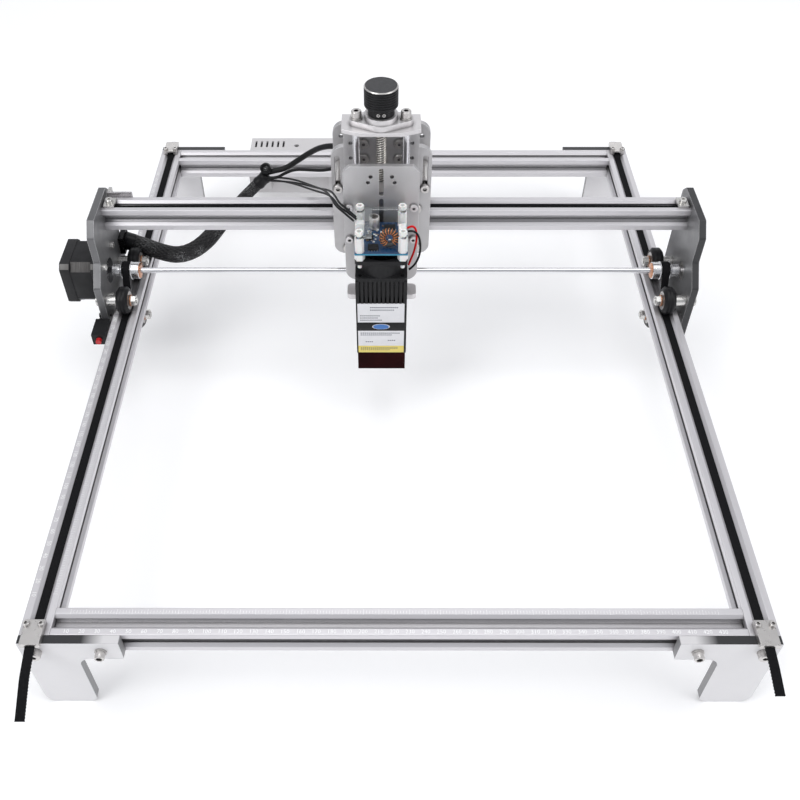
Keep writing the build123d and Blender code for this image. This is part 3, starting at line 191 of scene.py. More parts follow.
# ---- frame and sizes (metres)
# Bench coordinates: X from the frame's middle, Y from the front rail's front face, Z from the feet.
RAIL = 0.020
HALF_WIDTH = 0.243
BENCH = Vector((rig.box("left_rail")[0].x + HALF_WIDTH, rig.box("front_rail")[0].y, 0))
SIDE_X = HALF_WIDTH - RAIL / 2
FRAME_DEPTH = 0.565
RAIL_TOP = 0.080
BEAM_TOP = 0.1535
BEAM_Y = 0.364
SHAFT_Y = 0.340
SHAFT_Z = 0.101
GANTRY_INNER = 0.248
GANTRY_OUTER = 0.254
CARRIAGE_X = -0.012
ROD_Y = 0.324
LASER_Y = 0.277
HOUSING_HALF = 0.020
X_PULLEY_Z = 0.180
WHEEL_AXLE = 0.010
GANTRY_WHEELS = 0.054
CARRIAGE_WHEELS = 0.056
PULLEY_R = 0.0061
BELT_WIDTH = 0.006
BELT_THICK = 0.0015
TOOTH_PITCH = 0.002
GAP = 0.0003
SIDES = {"left": -1, "right": 1}
FOUR_CORNERS = ((-1, -1), (-1, 1), (1, -1), (1, 1))

TURN = {
    "+x": Matrix.Rotation(math.pi / 2, 4, "Y"),
    "-x": Matrix.Rotation(-math.pi / 2, 4, "Y"),
    "+y": Matrix.Rotation(-math.pi / 2, 4, "X"),
    "-y": Matrix.Rotation(math.pi / 2, 4, "X"),
    "+z": Matrix.Identity(4),
}


def bench(x, y, z):
    """A point in bench coordinates as a point in the row frame."""
    return BENCH + Vector((x, y, z))


def at(x, y, z, facing="+z"):
    """The placement of a shape at a bench point, its local Z turned to a named direction."""
    return Matrix.Translation(bench(x, y, z)) @ TURN[facing]


# ---- finishes
class Finish:
    """A material under construction: its Principled shader and the nodes that feed it."""

    def __init__(self, name, colour, roughness, metallic=0.0, **sockets):
        self.material = bpy.data.materials.new(name)
        self.material.use_nodes = True
        self.nodes = self.material.node_tree.nodes
        self.join = self.material.node_tree.links.new
        self.shader = self.nodes["Principled BSDF"]
        self.roughness = roughness
        self.colour = None
        self.normal = None
        self.set_socket("Base Color", (*colour, 1))
        self.set_socket("Roughness", roughness)
        self.set_socket("Metallic", metallic)
        for socket, value in sockets.items():
            self.set_socket(socket.replace("_", " "), value)

    def set_socket(self, socket, value):
        self.shader.inputs[socket].default_value = value

    def node(self, kind, inputs=(), **settings):
        made = self.nodes.new("ShaderNode" + kind)
        for key, value in settings.items():
            setattr(made, key, value)
        for socket, value in dict(inputs).items():
            if hasattr(value, "is_output"):
                self.join(value, made.inputs[socket])
            else:
                made.inputs[socket].default_value = value
        return made

    def place(self, stretch=(1, 1, 1)):
        """Object coordinates, stretched along their axes."""
        coordinates = self.node("TexCoord").outputs["Object"]
        return self.node("Mapping", {"Vector": coordinates, "Scale": stretch}).outputs["Vector"]

    def axis(self, name):
        coordinates = self.node("TexCoord").outputs["Object"]
        return self.node("SeparateXYZ", {"Vector": coordinates}).outputs[name]

    def bench_axis(self, name, start=0.0):
        """A coordinate measured from a bench position on its axis."""
        return self.math("SUBTRACT", self.axis(name), BENCH["XYZ".index(name)] + start)

    def facing(self, name):
        """How far the face looks along an axis, either way."""
        normal = self.node("NewGeometry").outputs["Normal"]
        component = self.node("SeparateXYZ", {"Vector": normal}).outputs[name]
        return self.math("ABSOLUTE", component)

    def noise(self, scale, stretch=(1, 1, 1), detail=3.0):
        inputs = {"Vector": self.place(stretch), "Scale": scale, "Detail": detail}
        return self.node("TexNoise", inputs).outputs[0]

    def scale(self, value, low, high, start=0.0, end=1.0):
        """Map a value from start..end to low..high."""
        inputs = {"Value": value, "From Min": start, "From Max": end, "To Min": low, "To Max": high}
        return self.node("MapRange", inputs).outputs[0]

    def math(self, operation, first, second=0.0):
        return self.node("Math", {0: first, 1: second}, operation=operation).outputs[0]

    def within(self, value, low, high):
        """One between low and high, nothing elsewhere."""
        above = self.math("GREATER_THAN", value, low)
        return self.math("MULTIPLY", above, self.math("LESS_THAN", value, high))

    def tint(self, mask, colour):
        """Another colour where the mask is one."""
        mix = self.node("Mix", data_type="RGBA")
        self.join(mask, mix.inputs[0])
        if self.colour is None:
            mix.inputs[6].default_value = self.shader.inputs["Base Color"].default_value
        else:
            self.join(self.colour, mix.inputs[6])
        mix.inputs[7].default_value = (*colour, 1)
        self.colour = mix.outputs[2]
        self.join(self.colour, self.shader.inputs["Base Color"])
        return self

    def mottle(self, scale, colour, amount=0.5, stretch=(1, 1, 1)):
        """Soft patches of another colour."""
        mask = self.scale(self.noise(scale, stretch), 0.0, amount, 0.35, 0.75)
        return self.tint(mask, colour)

    def uneven(self, scale, spread, stretch=(1, 1, 1)):
        """Roughness that wanders round its value."""
        noise = self.noise(scale, stretch)
        value = self.scale(noise, self.roughness - spread, self.roughness + spread, 0.3, 0.7)
        self.join(value, self.shader.inputs["Roughness"])
        return self

    def relief(self, scale, depth, stretch=(1, 1, 1)):
        """A noisy bump of that depth in metres."""
        height = self.noise(scale, stretch)
        bump = self.node("Bump", {"Height": height, "Distance": depth, "Strength": 1.0})
        if self.normal is not None:
            self.join(self.normal, bump.inputs["Normal"])
        self.normal = bump.outputs["Normal"]
        self.join(self.normal, self.shader.inputs["Normal"])
        return self

    def soft_edges(self, radius, wear_and_painted_highlight=None, amount=0.7):
        """Edges that catch the light like a small round, and a lighter colour along them that is partly wear and
        partly a painted highlight.
        """
        bevel = self.node("Bevel", {"Radius": radius}, samples=4)
        self.normal = bevel.outputs["Normal"]
        self.join(self.normal, self.shader.inputs["Normal"])
        if wear_and_painted_highlight is not None:
            # Painted highlight, partly wear: the edges are tinted towards the given lighter colour.
            flat = self.node("NewGeometry").outputs["Normal"]
            dot = self.node("VectorMath", {0: self.normal, 1: flat}, operation="DOT_PRODUCT")
            self.tint(self.scale(dot.outputs["Value"], amount, 0.0, 0.8, 0.99), wear_and_painted_highlight)
        return self

    def painted_shade_in_hollows(self, reach, colour, amount):
        """Painted shade: another colour in corners and slots, within reach of a facing surface."""
        open_sky = self.node("AmbientOcclusion", {"Distance": reach}, samples=8).outputs["AO"]
        return self.tint(self.scale(open_sky, amount, 0.0, 0.15, 0.85), colour)

    def dressed(self, **steps):
        """The material after steps taken in turn, each the name of a method above and its arguments."""
        for step, arguments in steps.items():
            getattr(self, step)(*arguments)
        return self.material


ALONG = {"x": (0.02, 1, 1), "y": (1, 0.02, 1), "z": (1, 1, 0.02)}


def extruded_aluminium(axis):
    """Clear anodised extrusion with faint die lines along its length, and painted shade that darkens its slots."""
    made = Finish("rail_aluminium_" + axis, (0.68, 0.665, 0.685), 0.36, 0.55)
    made.soft_edges(0.0004, (0.93, 0.92, 0.94), 0.6)
    made.mottle(260, (0.58, 0.565, 0.585), 0.5, ALONG[axis])
    # Painted shade darkens the slots and corners.
    made.painted_shade_in_hollows(0.009, (0.06, 0.055, 0.06), 0.95)
    made.uneven(900, 0.06, ALONG[axis])
    return made.relief(1500, 0.00002, ALONG[axis]).material


def satin_aluminium(name, colour, roughness=0.42):
    """Bead-blasted anodised plate with bright edges, partly machined and partly a painted highlight, and painted shade
    in its corners and slots.
    """
    made = Finish(name, colour, roughness, 0.75)
    made.soft_edges(0.0006, (0.97, 0.97, 0.98), 0.8)
    made.mottle(35, tuple(0.88 * part for part in colour), 0.6)
    # Painted shade in the corners and slots.
    made.painted_shade_in_hollows(0.005, (0.03, 0.03, 0.032), 0.9)
    made.uneven(120, 0.05)
    return made.relief(4000, 0.000015).material


def plate_grey(name, cut_face_painted_reflection):
    """Dark anodised gantry plate: its cut faces darkened by the given amount as a painted dark reflection, and its
    arrises lighter, partly wear and partly a painted highlight.
    """
    made = Finish(name, (0.25, 0.25, 0.255), 0.38, 0.6)
    made.mottle(30, (0.19, 0.19, 0.195), 0.6)
    # Painted dark reflection: the cut faces, those not facing along X, are darkened by the given amount.
    cut = made.math("LESS_THAN", made.facing("X"), 0.5)
    made.tint(made.math("MULTIPLY", cut, cut_face_painted_reflection), (0.022, 0.022, 0.024))
    made.soft_edges(0.0009, (0.62, 0.62, 0.63), 0.9)
    made.uneven(90, 0.08)
    return made.relief(3500, 0.00001).material


def foot_grey():
    """Pale moulded foot plates with grey edges, and a painted reflection on their top faces: near black on the rear
    pair, and on the front pair a lighter grey that turns near black towards the outer ends.
    """
    made = Finish("foot_plate", (0.80, 0.79, 0.80), 0.38)
    made.soft_edges(0.0007, (0.95, 0.95, 0.95), 0.8)
    made.mottle(40, (0.76, 0.75, 0.76), 0.5)
    edge = made.math("LESS_THAN", made.facing("Y"), 0.5)
    made.tint(made.math("MULTIPLY", edge, 0.85), (0.16, 0.16, 0.165))
    # Painted reflection on the top faces: lighter grey on the front pair, near black on the rear pair and towards the
    # front pair's outer ends.
    normal = made.node("NewGeometry").outputs["Normal"]
    up = made.node("SeparateXYZ", {"Vector": normal}).outputs["Z"]
    top = made.math("GREATER_THAN", up, 0.5)
    reflection_fade = made.scale(made.math("ABSOLUTE", made.bench_axis("X")), 0.0, 1.0, 0.188, 0.202)
    front = made.math("LESS_THAN", made.axis("Y"), BENCH.y + FRAME_DEPTH / 2)
    made.tint(made.math("MULTIPLY", top, front), (0.62, 0.61, 0.62))
    dark = made.math("MAXIMUM", reflection_fade, made.math("SUBTRACT", 1.0, front))
    made.tint(made.math("MULTIPLY", top, dark), (0.018, 0.018, 0.02))
    made.uneven(300, 0.05)
    return made.relief(2500, 0.00001).material


def bright_steel(name="steel_fasteners"):
    """Zinc-plated screws, washers and nuts, with painted shade in their recesses."""
    made = Finish(name, (0.62, 0.60, 0.585), 0.30, 0.85)
    made.soft_edges(0.0003, (0.85, 0.84, 0.82), 0.5)
    made.mottle(120, (0.52, 0.505, 0.49), 0.4)
    # Painted shade in recesses and between parts.
    made.painted_shade_in_hollows(0.004, (0.05, 0.045, 0.04), 0.85)
    return made.uneven(300, 0.04).material


def axle_steel():
    """Steel axle parts whose thin washers are copper coloured, with painted shade in their recesses."""
    made = Finish("axle_steel", (0.70, 0.69, 0.67), 0.26, 0.85)
    made.soft_edges(0.0003)
    made.mottle(120, (0.58, 0.57, 0.55), 0.4)
    washer = made.within(made.math("ABSOLUTE", made.bench_axis("X")), 0.22655, 0.22760)
    made.tint(washer, (0.62, 0.30, 0.17))
    # Painted shade in recesses and between parts.
    made.painted_shade_in_hollows(0.003, (0.05, 0.045, 0.04), 0.7)
    return made.uneven(300, 0.04).material


def fittings_steel():
    """The gantry's screws and nuts, its satin harness tab and its black harness clip."""
    made = Finish("gantry_fittings", (0.66, 0.65, 0.63), 0.28, 0.85)
    made.soft_edges(0.0003)
    made.mottle(120, (0.54, 0.53, 0.51), 0.4)
    x = made.bench_axis("X")
    y = made.bench_axis("Y")
    z = made.axis("Z")
    tab = made.math("MULTIPLY", made.within(y, 0.3735, 0.3765), made.within(z, 0.136, 0.158))
    made.tint(tab, (0.50, 0.485, 0.49))
    clip = made.math("MULTIPLY", made.within(y, 0.3765, 0.3965), made.within(x, -0.249, -0.243))
    made.tint(made.math("MULTIPLY", clip, made.within(z, 0.089, 0.107)), (0.012, 0.012, 0.013))
    return made.uneven(300, 0.04).material


def chrome(name, along):
    """Ground and polished rod, its grain along its length."""
    made = Finish(name, (0.80, 0.80, 0.82), 0.12, 1.0)
    made.soft_edges(0.0002)
    made.mottle(200, (0.70, 0.70, 0.73), 0.5, ALONG[along])
    return made.uneven(500, 0.03, ALONG[along]).material


def moulded_black(name, colour=(0.016, 0.016, 0.017), roughness=0.42, grain=2600):
    """Black moulded plastic or painted metal with a fine grain."""
    made = Finish(name, colour, roughness, Specular_IOR_Level=0.18)
    made.soft_edges(0.0005)
    made.mottle(90, tuple(part * 1.9 for part in colour), 0.5)
    made.uneven(400, 0.06)
    return made.relief(grain, 0.00002).material


def anodised_black(name="laser_black"):
    made = Finish(name, (0.010, 0.010, 0.011), 0.34, 0.15, Specular_IOR_Level=0.25)
    made.soft_edges(0.0004, (0.07, 0.07, 0.075), 0.5)
    made.mottle(150, (0.018, 0.018, 0.019), 0.6)
    made.uneven(700, 0.06)
    return made.relief(3000, 0.00001).material


def sleeve_braid():
    made = Finish("cable_sleeve", (0.010, 0.010, 0.011), 0.42, Specular_IOR_Level=0.4)
    # Painted glints: light grey speckles, gathered in patches, over the black braid.
    painted_glints = made.scale(made.noise(1500, detail=1.0), 0.0, 1.0, 0.58, 0.66)
    patches = made.scale(made.noise(60), 0.0, 0.9, 0.45, 0.62)
    made.tint(made.math("MULTIPLY", painted_glints, patches), (0.42, 0.42, 0.42))
    made.uneven(1500, 0.1)
    return made.relief(7000, 0.00003).material


def lead_jacket(name, colour):
    made = Finish(name, colour, 0.45, Specular_IOR_Level=0.2)
    made.mottle(300, tuple(min(1, part * 1.6 + 0.004) for part in colour), 0.5)
    made.uneven(500, 0.06)
    return made.relief(2500, 0.00002).material


def board_blue(name="driver_board", colour=(0.008, 0.030, 0.075)):
    """Solder mask over faint copper tracks."""
    made = Finish(name, colour, 0.30, Coat_Weight=0.3)
    brick = made.node("TexBrick", {"Vector": made.place((700, 900, 700)), "Scale": 1.0, "Mortar Size": 0.07})
    made.tint(made.scale(brick.outputs["Fac"], 0.0, 0.8), tuple(2.2 * part for part in colour))
    made.mottle(500, tuple(0.6 * part for part in colour), 0.5)
    return made.uneven(500, 0.06).material


def plain_paint(name, colour, roughness=0.45):
    """Printed or moulded colour with slight unevenness."""
    made = Finish(name, colour, roughness)
    made.mottle(200, tuple(0.9 * part for part in colour), 0.4)
    return made.uneven(400, 0.05).material


def thread_steel():
    """The lead screw's rolled thread, with painted shade darkening the roots of its thread and the stretch hemmed in
    by other parts.
    """
    made = Finish("thread_steel", (0.86, 0.83, 0.78), 0.25, 0.8)
    made.mottle(400, (0.70, 0.64, 0.56), 0.5)
    # Painted shade: the roots of the thread, inside the crest radius, are darkened towards near black.
    across = made.bench_axis("X", CARRIAGE_X)
    back = made.bench_axis("Y", ROD_Y)
    squares = made.math("ADD", made.math("MULTIPLY", across, across), made.math("MULTIPLY", back, back))
    radius = made.math("SQRT", squares)
    made.tint(made.scale(radius, 1.0, 0.0, 0.0034, 0.0038), (0.03, 0.024, 0.018))
    # Painted shade where nearby parts hem the screw in.
    made.painted_shade_in_hollows(0.009, (0.02, 0.018, 0.016), 0.9)
    return made.uneven(700, 0.08).material


def stack_layers(axis):
    """The bare edges of a motor's sheet stack, striped across its axis."""
    across = {"x": (1, 0.02, 0.02), "y": (0.02, 1, 0.02)}[axis]
    made = Finish("stack_layers_" + axis, (0.085, 0.08, 0.078), 0.45, 0.3)
    made.mottle(2600, (0.02, 0.019, 0.018), 0.9, across)
    made.uneven(2600, 0.08, across)
    return made.relief(2600, 0.0001, across).material


RAIL_FINISH = {axis: extruded_aluminium(axis) for axis in "xy"}
PLATE = satin_aluminium("carriage_aluminium", (0.56, 0.55, 0.555))
CAST = satin_aluminium("cast_aluminium", (0.74, 0.72, 0.725), 0.36)
# The two plates are copies of one finish: the right plate's cut faces carry more painted dark reflection than the left
# plate's.
LEFT_PLATE = plate_grey("left_gantry_plate", 0.35)
RIGHT_PLATE = plate_grey("right_gantry_plate", 0.85)
FOOT = foot_grey()
STEEL = bright_steel()
AXLE = axle_steel()
ROD_CHROME = chrome("chrome_rod", "z")
SHAFT_CHROME = chrome("shaft_steel", "x")
FITTINGS = fittings_steel()
TURNED = Finish("pulley_aluminium", (0.80, 0.80, 0.81), 0.26, 1.0).dressed(
    mottle=(500, (0.65, 0.65, 0.67)), uneven=(900, 0.07))
COPPER = Finish("copper_washer", (0.66, 0.33, 0.19), 0.28, 1.0).dressed(
    mottle=(900, (0.45, 0.20, 0.11), 0.7), uneven=(1200, 0.08))
RUBBER = Finish("belt_rubber", (0.006, 0.006, 0.007), 0.7, Specular_IOR_Level=0.08).dressed(
    mottle=(800, (0.013, 0.013, 0.014), 0.6), uneven=(900, 0.08), relief=(5000, 0.00002))
MOTOR_BLACK = moulded_black("motor_black", (0.022, 0.022, 0.023), 0.40, 1800)
SWITCH_BLACK = moulded_black("switch_black", (0.014, 0.014, 0.015))
FAN_BLACK = moulded_black("fan_black", (0.012, 0.012, 0.013), 0.48)
WHEEL_BLACK = moulded_black("wheel_plastic", (0.010, 0.010, 0.011), 0.34)
KNOB_BLACK = anodised_black("knob_black")
LASER_BLACK = anodised_black()
SOFT_PLASTIC = {"Subsurface_Weight": 0.15, "Subsurface_Scale": 0.001}
NYLON = Finish("nylon_white", (0.86, 0.86, 0.84), 0.38, **SOFT_PLASTIC).dressed(
    soft_edges=(0.0003,), mottle=(400, (0.76, 0.76, 0.74), 0.4), uneven=(600, 0.06))
ACRYLIC = Finish("clear_acrylic", (0.93, 0.95, 0.95), 0.05, Transmission_Weight=0.92, IOR=1.2).dressed(
    soft_edges=(0.0003,), uneven=(60, 0.03))
RED_ACRYLIC = Finish("shield_red", (0.012, 0.0003, 0.0005), 0.2, Specular_IOR_Level=0.04).dressed(
    soft_edges=(0.0004,), mottle=(60, (0.030, 0.0010, 0.0014), 0.6), uneven=(150, 0.03))
GLASS = Finish("lens_glass", (0.75, 0.85, 0.90), 0.03, Transmission_Weight=1.0, IOR=1.5).dressed(
    uneven=(100, 0.01))
BRAID = sleeve_braid()
BLACK_WIRE = lead_jacket("lead_black", (0.012, 0.012, 0.013))
RED_WIRE = lead_jacket("wire_red", (0.62, 0.010, 0.012))
SHELL = Finish("controller_shell", (0.60, 0.585, 0.59), 0.45).dressed(
    soft_edges=(0.0006, (0.85, 0.85, 0.85), 0.5), mottle=(60, (0.55, 0.54, 0.545)), uneven=(200, 0.05),
    relief=(3000, 0.00002))
BOARD = board_blue()
GREEN_BOARD = board_blue("circuit_board", (0.010, 0.060, 0.030))
RED_BUTTON = plain_paint("button_red", (0.55, 0.015, 0.02), 0.35)
WHITE_INK = plain_paint("scale_white", (0.95, 0.95, 0.95))
THREAD = thread_steel()
RIM = bright_steel("knob_rim")
KNOB_FACE = plain_paint("knob_face", (0.026, 0.026, 0.029), 0.45)
STACK_BLACK = moulded_black("stack_black", (0.018, 0.018, 0.019), 0.45)
LAYERS = {axis: stack_layers(axis) for axis in "xy"}
BARE = plain_paint("bare_corner", (0.12, 0.115, 0.11), 0.4)
BOARD_EDGE = plain_paint("board_edge", (0.02, 0.22, 0.36), 0.4)
CAPACITOR = satin_aluminium("capacitor_can", (0.72, 0.70, 0.68), 0.35)
CAPACITOR_TOP = plain_paint("capacitor_top", (0.06, 0.055, 0.05), 0.4)
COPPER_WIRE = Finish("copper_wire", (0.72, 0.30, 0.13), 0.25, 0.9).dressed(
    mottle=(1200, (0.50, 0.18, 0.08), 0.6), uneven=(1500, 0.06))
FERRITE = plain_paint("ferrite", (0.03, 0.03, 0.032), 0.5)
RESISTOR = plain_paint("resistor", (0.16, 0.11, 0.07), 0.4)
LABEL_WHITE = plain_paint("label_white", (0.78, 0.78, 0.80), 0.4)
LABEL_YELLOW = plain_paint("label_yellow", (0.80, 0.66, 0.16), 0.4)
LABEL_BLUE = plain_paint("label_blue", (0.05, 0.18, 0.50), 0.4)
LABEL_INK = plain_paint("label_ink", (0.06, 0.065, 0.10), 0.5)


# ---- finishes of the CAD nodes
CAD_FINISHES = (
    (RAIL_FINISH["x"], "front_rail rear_rail cross_beam"),
    (RAIL_FINISH["y"], "left_rail right_rail"),
    (FOOT, "foot_plates"),
    (STEEL, "frame_fasteners shaft_bearing carriage_axles carriage_fittings lead_screw"),
    (SHELL, "controller_case controller_lid"),
    (GREEN_BOARD, "controller_board"),
    (LEFT_PLATE, "left_side_plate"),
    (RIGHT_PLATE, "right_side_plate"),
    (FITTINGS, "gantry_fittings"),
    (AXLE, "side_axles"),
    (SWITCH_BLACK, "limit_switch x_switch"),
    (RED_BUTTON, "limit_switch_button"),
    (SHAFT_CHROME, "cross_shaft"),
    (PLATE, "carriage_front_plate carriage_rear_plate z_back_plate slider_plate"),
    (CAST, "z_end_plates flange_bearing slider_block"),
    (ROD_CHROME, "guide_rods"),
    (LASER_BLACK, "laser_housing"),
    (GLASS, "laser_lens"),
    (RED_ACRYLIC, "laser_shield"),
    (FAN_BLACK, "fan_frame fan_rotor"),
    (NYLON, "board_standoffs"),
    (ACRYLIC, "board_cover"),
    (MOTOR_BLACK, "y_motor x_motor"),
    (BOARD, "driver_board"),
    (TURNED, "y_pulleys x_pulley"),
    (KNOB_BLACK, "z_knob"),
    (RUBBER, "y_belts y_belt_loops x_belt x_belt_loop"),
)
WHEELS = " ".join(name for name in frame["nodes"] if name.endswith("_wheel"))

for finish, node_names in CAD_FINISHES + ((WHEEL_BLACK, WHEELS),):
    for node_name in node_names.split():
        node_materials = frame["nodes"][node_name].data.materials
        node_materials.clear()
        node_materials.append(finish)


# ---- mesh tools
def linked(name, data):
    """A new object in the scene."""
    made = bpy.data.objects.new(name, data)
    bpy.context.scene.collection.objects.link(made)
    return made


def piece(name, bm, body, materials, replaces=(), slot=None, smooth=40):
    """Turn a bmesh into a named piece that rides on a body and stands for CAD nodes."""
    bmesh.ops.recalc_face_normals(bm, faces=bm.faces)
    mesh = bpy.data.meshes.new(name)
    bm.to_mesh(mesh)
    bm.free()
    for material in materials:
        mesh.materials.append(material)
    mesh.shade_smooth()
    mesh.set_sharp_from_angle(angle=math.radians(smooth))
    made = linked(name, mesh)
    if body is not None:
        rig.ride(made, body)
    if replaces:
        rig.replaces(made, *replaces)
    if slot:
        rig.slot(made, slot)
    return made


def skin(bm, rings, material=0, capped=True):
    """Faces between rings of points that follow one another, and over the two ends."""
    for low, high in zip(rings, rings[1:]):
        for step in range(len(low)):
            after = (step + 1) % len(low)
            face = bm.faces.new((low[step], low[after], high[after], high[step]))
            face.material_index = material
    if capped:
        for ring in (rings[0], rings[-1]):
            bm.faces.new(ring).material_index = material


def turned(bm, profile, place, steps=48, ripple=None, material=0, capped=False):
    """Revolve (radius, height) points about local Z; ripple changes a radius with its angle."""
    rings = []
    for radius, height in profile:
        ring = []
        for step in range(steps):
            angle = 2 * math.pi * step / steps
            r = radius + (ripple(angle, radius, height) if ripple else 0.0)
            point = Vector((r * math.cos(angle), r * math.sin(angle), height))
            ring.append(bm.verts.new(place @ point))
        rings.append(ring)
    skin(bm, rings, material, capped)


def solid_of_revolution(bm, profile, place, steps=48, ripple=None, material=0):
    """The same with both ends closed."""
    turned(bm, profile, place, steps, ripple, material, True)


def closed_ring(bm, profile, place, steps=48, ripple=None, material=0):
    """Revolve a closed section, so that it is a ring."""
    turned(bm, list(profile) + [profile[0]], place, steps, ripple, material)
    bmesh.ops.remove_doubles(bm, verts=bm.verts, dist=1e-7)


def rounded_block(bm, x, y, z, edge, material=0, segments=2):
    """A box from three spans with rounded edges."""
    centre = Vector([(low + high) / 2 for low, high in (x, y, z)])
    size = [high - low for low, high in (x, y, z)]
    matrix = Matrix.Translation(centre) @ Matrix.Diagonal((*size, 1))
    made = bmesh.ops.create_cube(bm, size=1.0, matrix=matrix)
    edges = {edge_of for vert in made["verts"] for edge_of in vert.link_edges}
    faces = {face for vert in made["verts"] for face in vert.link_faces}
    for face in faces:
        face.material_index = material
    bmesh.ops.bevel(
        bm, geom=list(edges), offset=edge, segments=segments, profile=0.5, affect="EDGES", material=material
    )


def bench_block(bm, x, y, z, edge, material=0, segments=2):
    """A rounded box from bench spans."""
    spans = [(low + shift, high + shift) for (low, high), shift in zip((x, y, z), BENCH)]
    rounded_block(bm, *spans, edge, material, segments)


def middle_block(bm, x, y, half_x, half_y, z, edge, material=0, segments=2):
    """A rounded box from its middle and half sizes across, and a span of heights."""
    bench_block(bm, (x - half_x, x + half_x), (y - half_y, y + half_y), z, edge, material, segments)


def flipped(section):
    """A section's mirror image about height 0, in reverse order."""
    return [(radius, -height) for radius, height in reversed(section)]


def rectangle(x, half, low, high):
    """The corners of a rectangle to both sides of x."""
    return [(x - half, low), (x + half, low), (x + half, high), (x - half, high)]


def frames_along(points):
    """A point, tangent and two cross directions at each point of a line, without twist."""
    side = None
    for index, point in enumerate(points):
        before = points[max(0, index - 1)]
        after = points[min(len(points) - 1, index + 1)]
        tangent = (after - before).normalized()
        if side is None:
            side = tangent.orthogonal().normalized()
        side = (side - tangent * side.dot(tangent)).normalized()
        yield point, tangent, side, tangent.cross(side)


def swept(bm, points, radius_at, sides=16, material=0):
    """A closed tube along points; radius_at gives the radius at a point's number and an angle."""
    rings = []
    for index, (point, _, side, up) in enumerate(frames_along(points)):
        ring = []
        for step in range(sides):
            angle = 2 * math.pi * step / sides
            reach = radius_at(index, angle)
            arm = (side * math.cos(angle) + up * math.sin(angle)) * reach
            ring.append(bm.verts.new(point + arm))
        rings.append(ring)
    skin(bm, rings, material)


# ---- cords
SLEEVE_D = 0.014
SLEEVE_ROUTE = [
    (-0.2406, 0.3885, 0.095), (-0.229, 0.3885, 0.0905), (-0.214, 0.384, 0.087),
    (-0.198, 0.3795, 0.0863), (-0.184, 0.384, 0.0878), (-0.172, 0.394, 0.092),
    (-0.161, 0.407, 0.0995), (-0.148, 0.419, 0.11), (-0.1335, 0.427, 0.1225),
    (-0.118, 0.4295, 0.1365),
]
MOTOR_LEAD_D = 0.005
MOTOR_LEAD_ROUTE = [
    (-0.1188, 0.43, 0.14), (-0.11, 0.4305, 0.1425), (-0.0993, 0.43, 0.1448),
    (-0.0879, 0.43, 0.1531), (-0.0765, 0.428, 0.1625), (-0.065, 0.42, 0.1735),
    (-0.052, 0.41, 0.181), (-0.042, 0.405, 0.1825),
]
SWITCH_LEAD_D = 0.0028
SWITCH_LEAD_ROUTE = [
    (-0.1165, 0.426, 0.138), (-0.1071, 0.426, 0.1375), (-0.0987, 0.422, 0.1458),
    (-0.088, 0.415, 0.1544), (-0.0737, 0.405, 0.16), (-0.061, 0.395, 0.166),
    (-0.0526, 0.3915, 0.1705),
]
LASER_LEAD_D = 0.0046
LASER_LEAD_ROUTE = [
    (-0.114, 0.429, 0.1345), (-0.1015, 0.4205, 0.1395), (-0.087, 0.402, 0.1495),
    (-0.074, 0.383, 0.158), (-0.064, 0.363, 0.1685), (-0.0565, 0.345, 0.179),
    (-0.0505, 0.325, 0.188), (-0.0458, 0.3055, 0.1935), (-0.0395, 0.294, 0.1965),
    (-0.0316, 0.2868, 0.1938),
]
WIRE_D = 0.0017
RED_WIRE_ROUTE = [
    (0.008, 0.284, 0.1876), (0.0114, 0.2835, 0.1905), (0.0146, 0.282, 0.188),
    (0.0152, 0.280, 0.180), (0.0136, 0.278, 0.171), (0.0106, 0.276, 0.163),
    (0.0092, 0.2755, 0.159),
]
BLACK_WIRE_ROUTE = [
    (0.008, 0.281, 0.1866), (0.012, 0.280, 0.1885), (0.0165, 0.278, 0.1855),
    (0.0182, 0.2755, 0.177), (0.017, 0.273, 0.168), (0.013, 0.271, 0.161),
    (0.0094, 0.2702, 0.1586),
]


def route_curve(name, route, diameter=0.0):
    """A NURBS curve through the route's control points."""
    curve = bpy.data.curves.new(name, "CURVE")
    curve.dimensions = "3D"
    curve.resolution_u = 12
    curve.bevel_depth = diameter / 2
    curve.bevel_resolution = 4
    curve.use_fill_caps = True
    spline = curve.splines.new("NURBS")
    spline.points.add(len(route) - 1)
    for point, place in zip(spline.points, route):
        point.co = (*bench(*place), 1)
    spline.order_u = 3
    spline.use_endpoint_u = True
    return linked(name, curve)


def route_line(route):
    """The points of the route's own NURBS line."""
    guide = route_curve("guide", route)
    mesh = bpy.data.meshes.new_from_object(guide)
    points = [vert.co.copy() for vert in mesh.vertices]
    bpy.data.objects.remove(guide)
    bpy.data.meshes.remove(mesh)
    return points


def line_length(points):
    return sum((after - before).length for before, after in zip(points, points[1:]))


def finer(points, step):
    """The line with points added evenly, about a step apart."""
    fine = [points[0]]
    for before, after in zip(points, points[1:]):
        parts = max(1, round((after - before).length / step))
        fine += [before.lerp(after, part / parts) for part in range(1, parts + 1)]
    return fine


def strand_lines(points, count, reach, twist):
    """Lines of several strands laid round a centre line, with a turn of twist over its length."""
    strands = [[] for _ in range(count)]
    for index, (point, _, side, up) in enumerate(frames_along(points)):
        turn = twist * index / len(points)
        for number, strand in enumerate(strands):
            angle = 2 * math.pi * (number / count + turn)
            strand.append(point + (side * math.cos(angle) + up * math.sin(angle)) * reach)
    return strands


def cord_piece(name, points, body_pair, diameter, bm, material, node, stiffness="medium", far_end="object"):
    """A mesh cord along points that turns between two bodies, or rides on one."""
    single = len(body_pair) == 1
    made = piece(name, bm, body_pair[0] if single else None, [material], (node,), "cable_sleeve")
    if not single:
        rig.blend(made, *body_pair, start=points[0], end=points[-1])
    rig.cord(
        made, exit=points[0], length=line_length(points), diameter=diameter,
        far_end=far_end, stiffness=stiffness, lay="loose", path=points,
    )
    return made


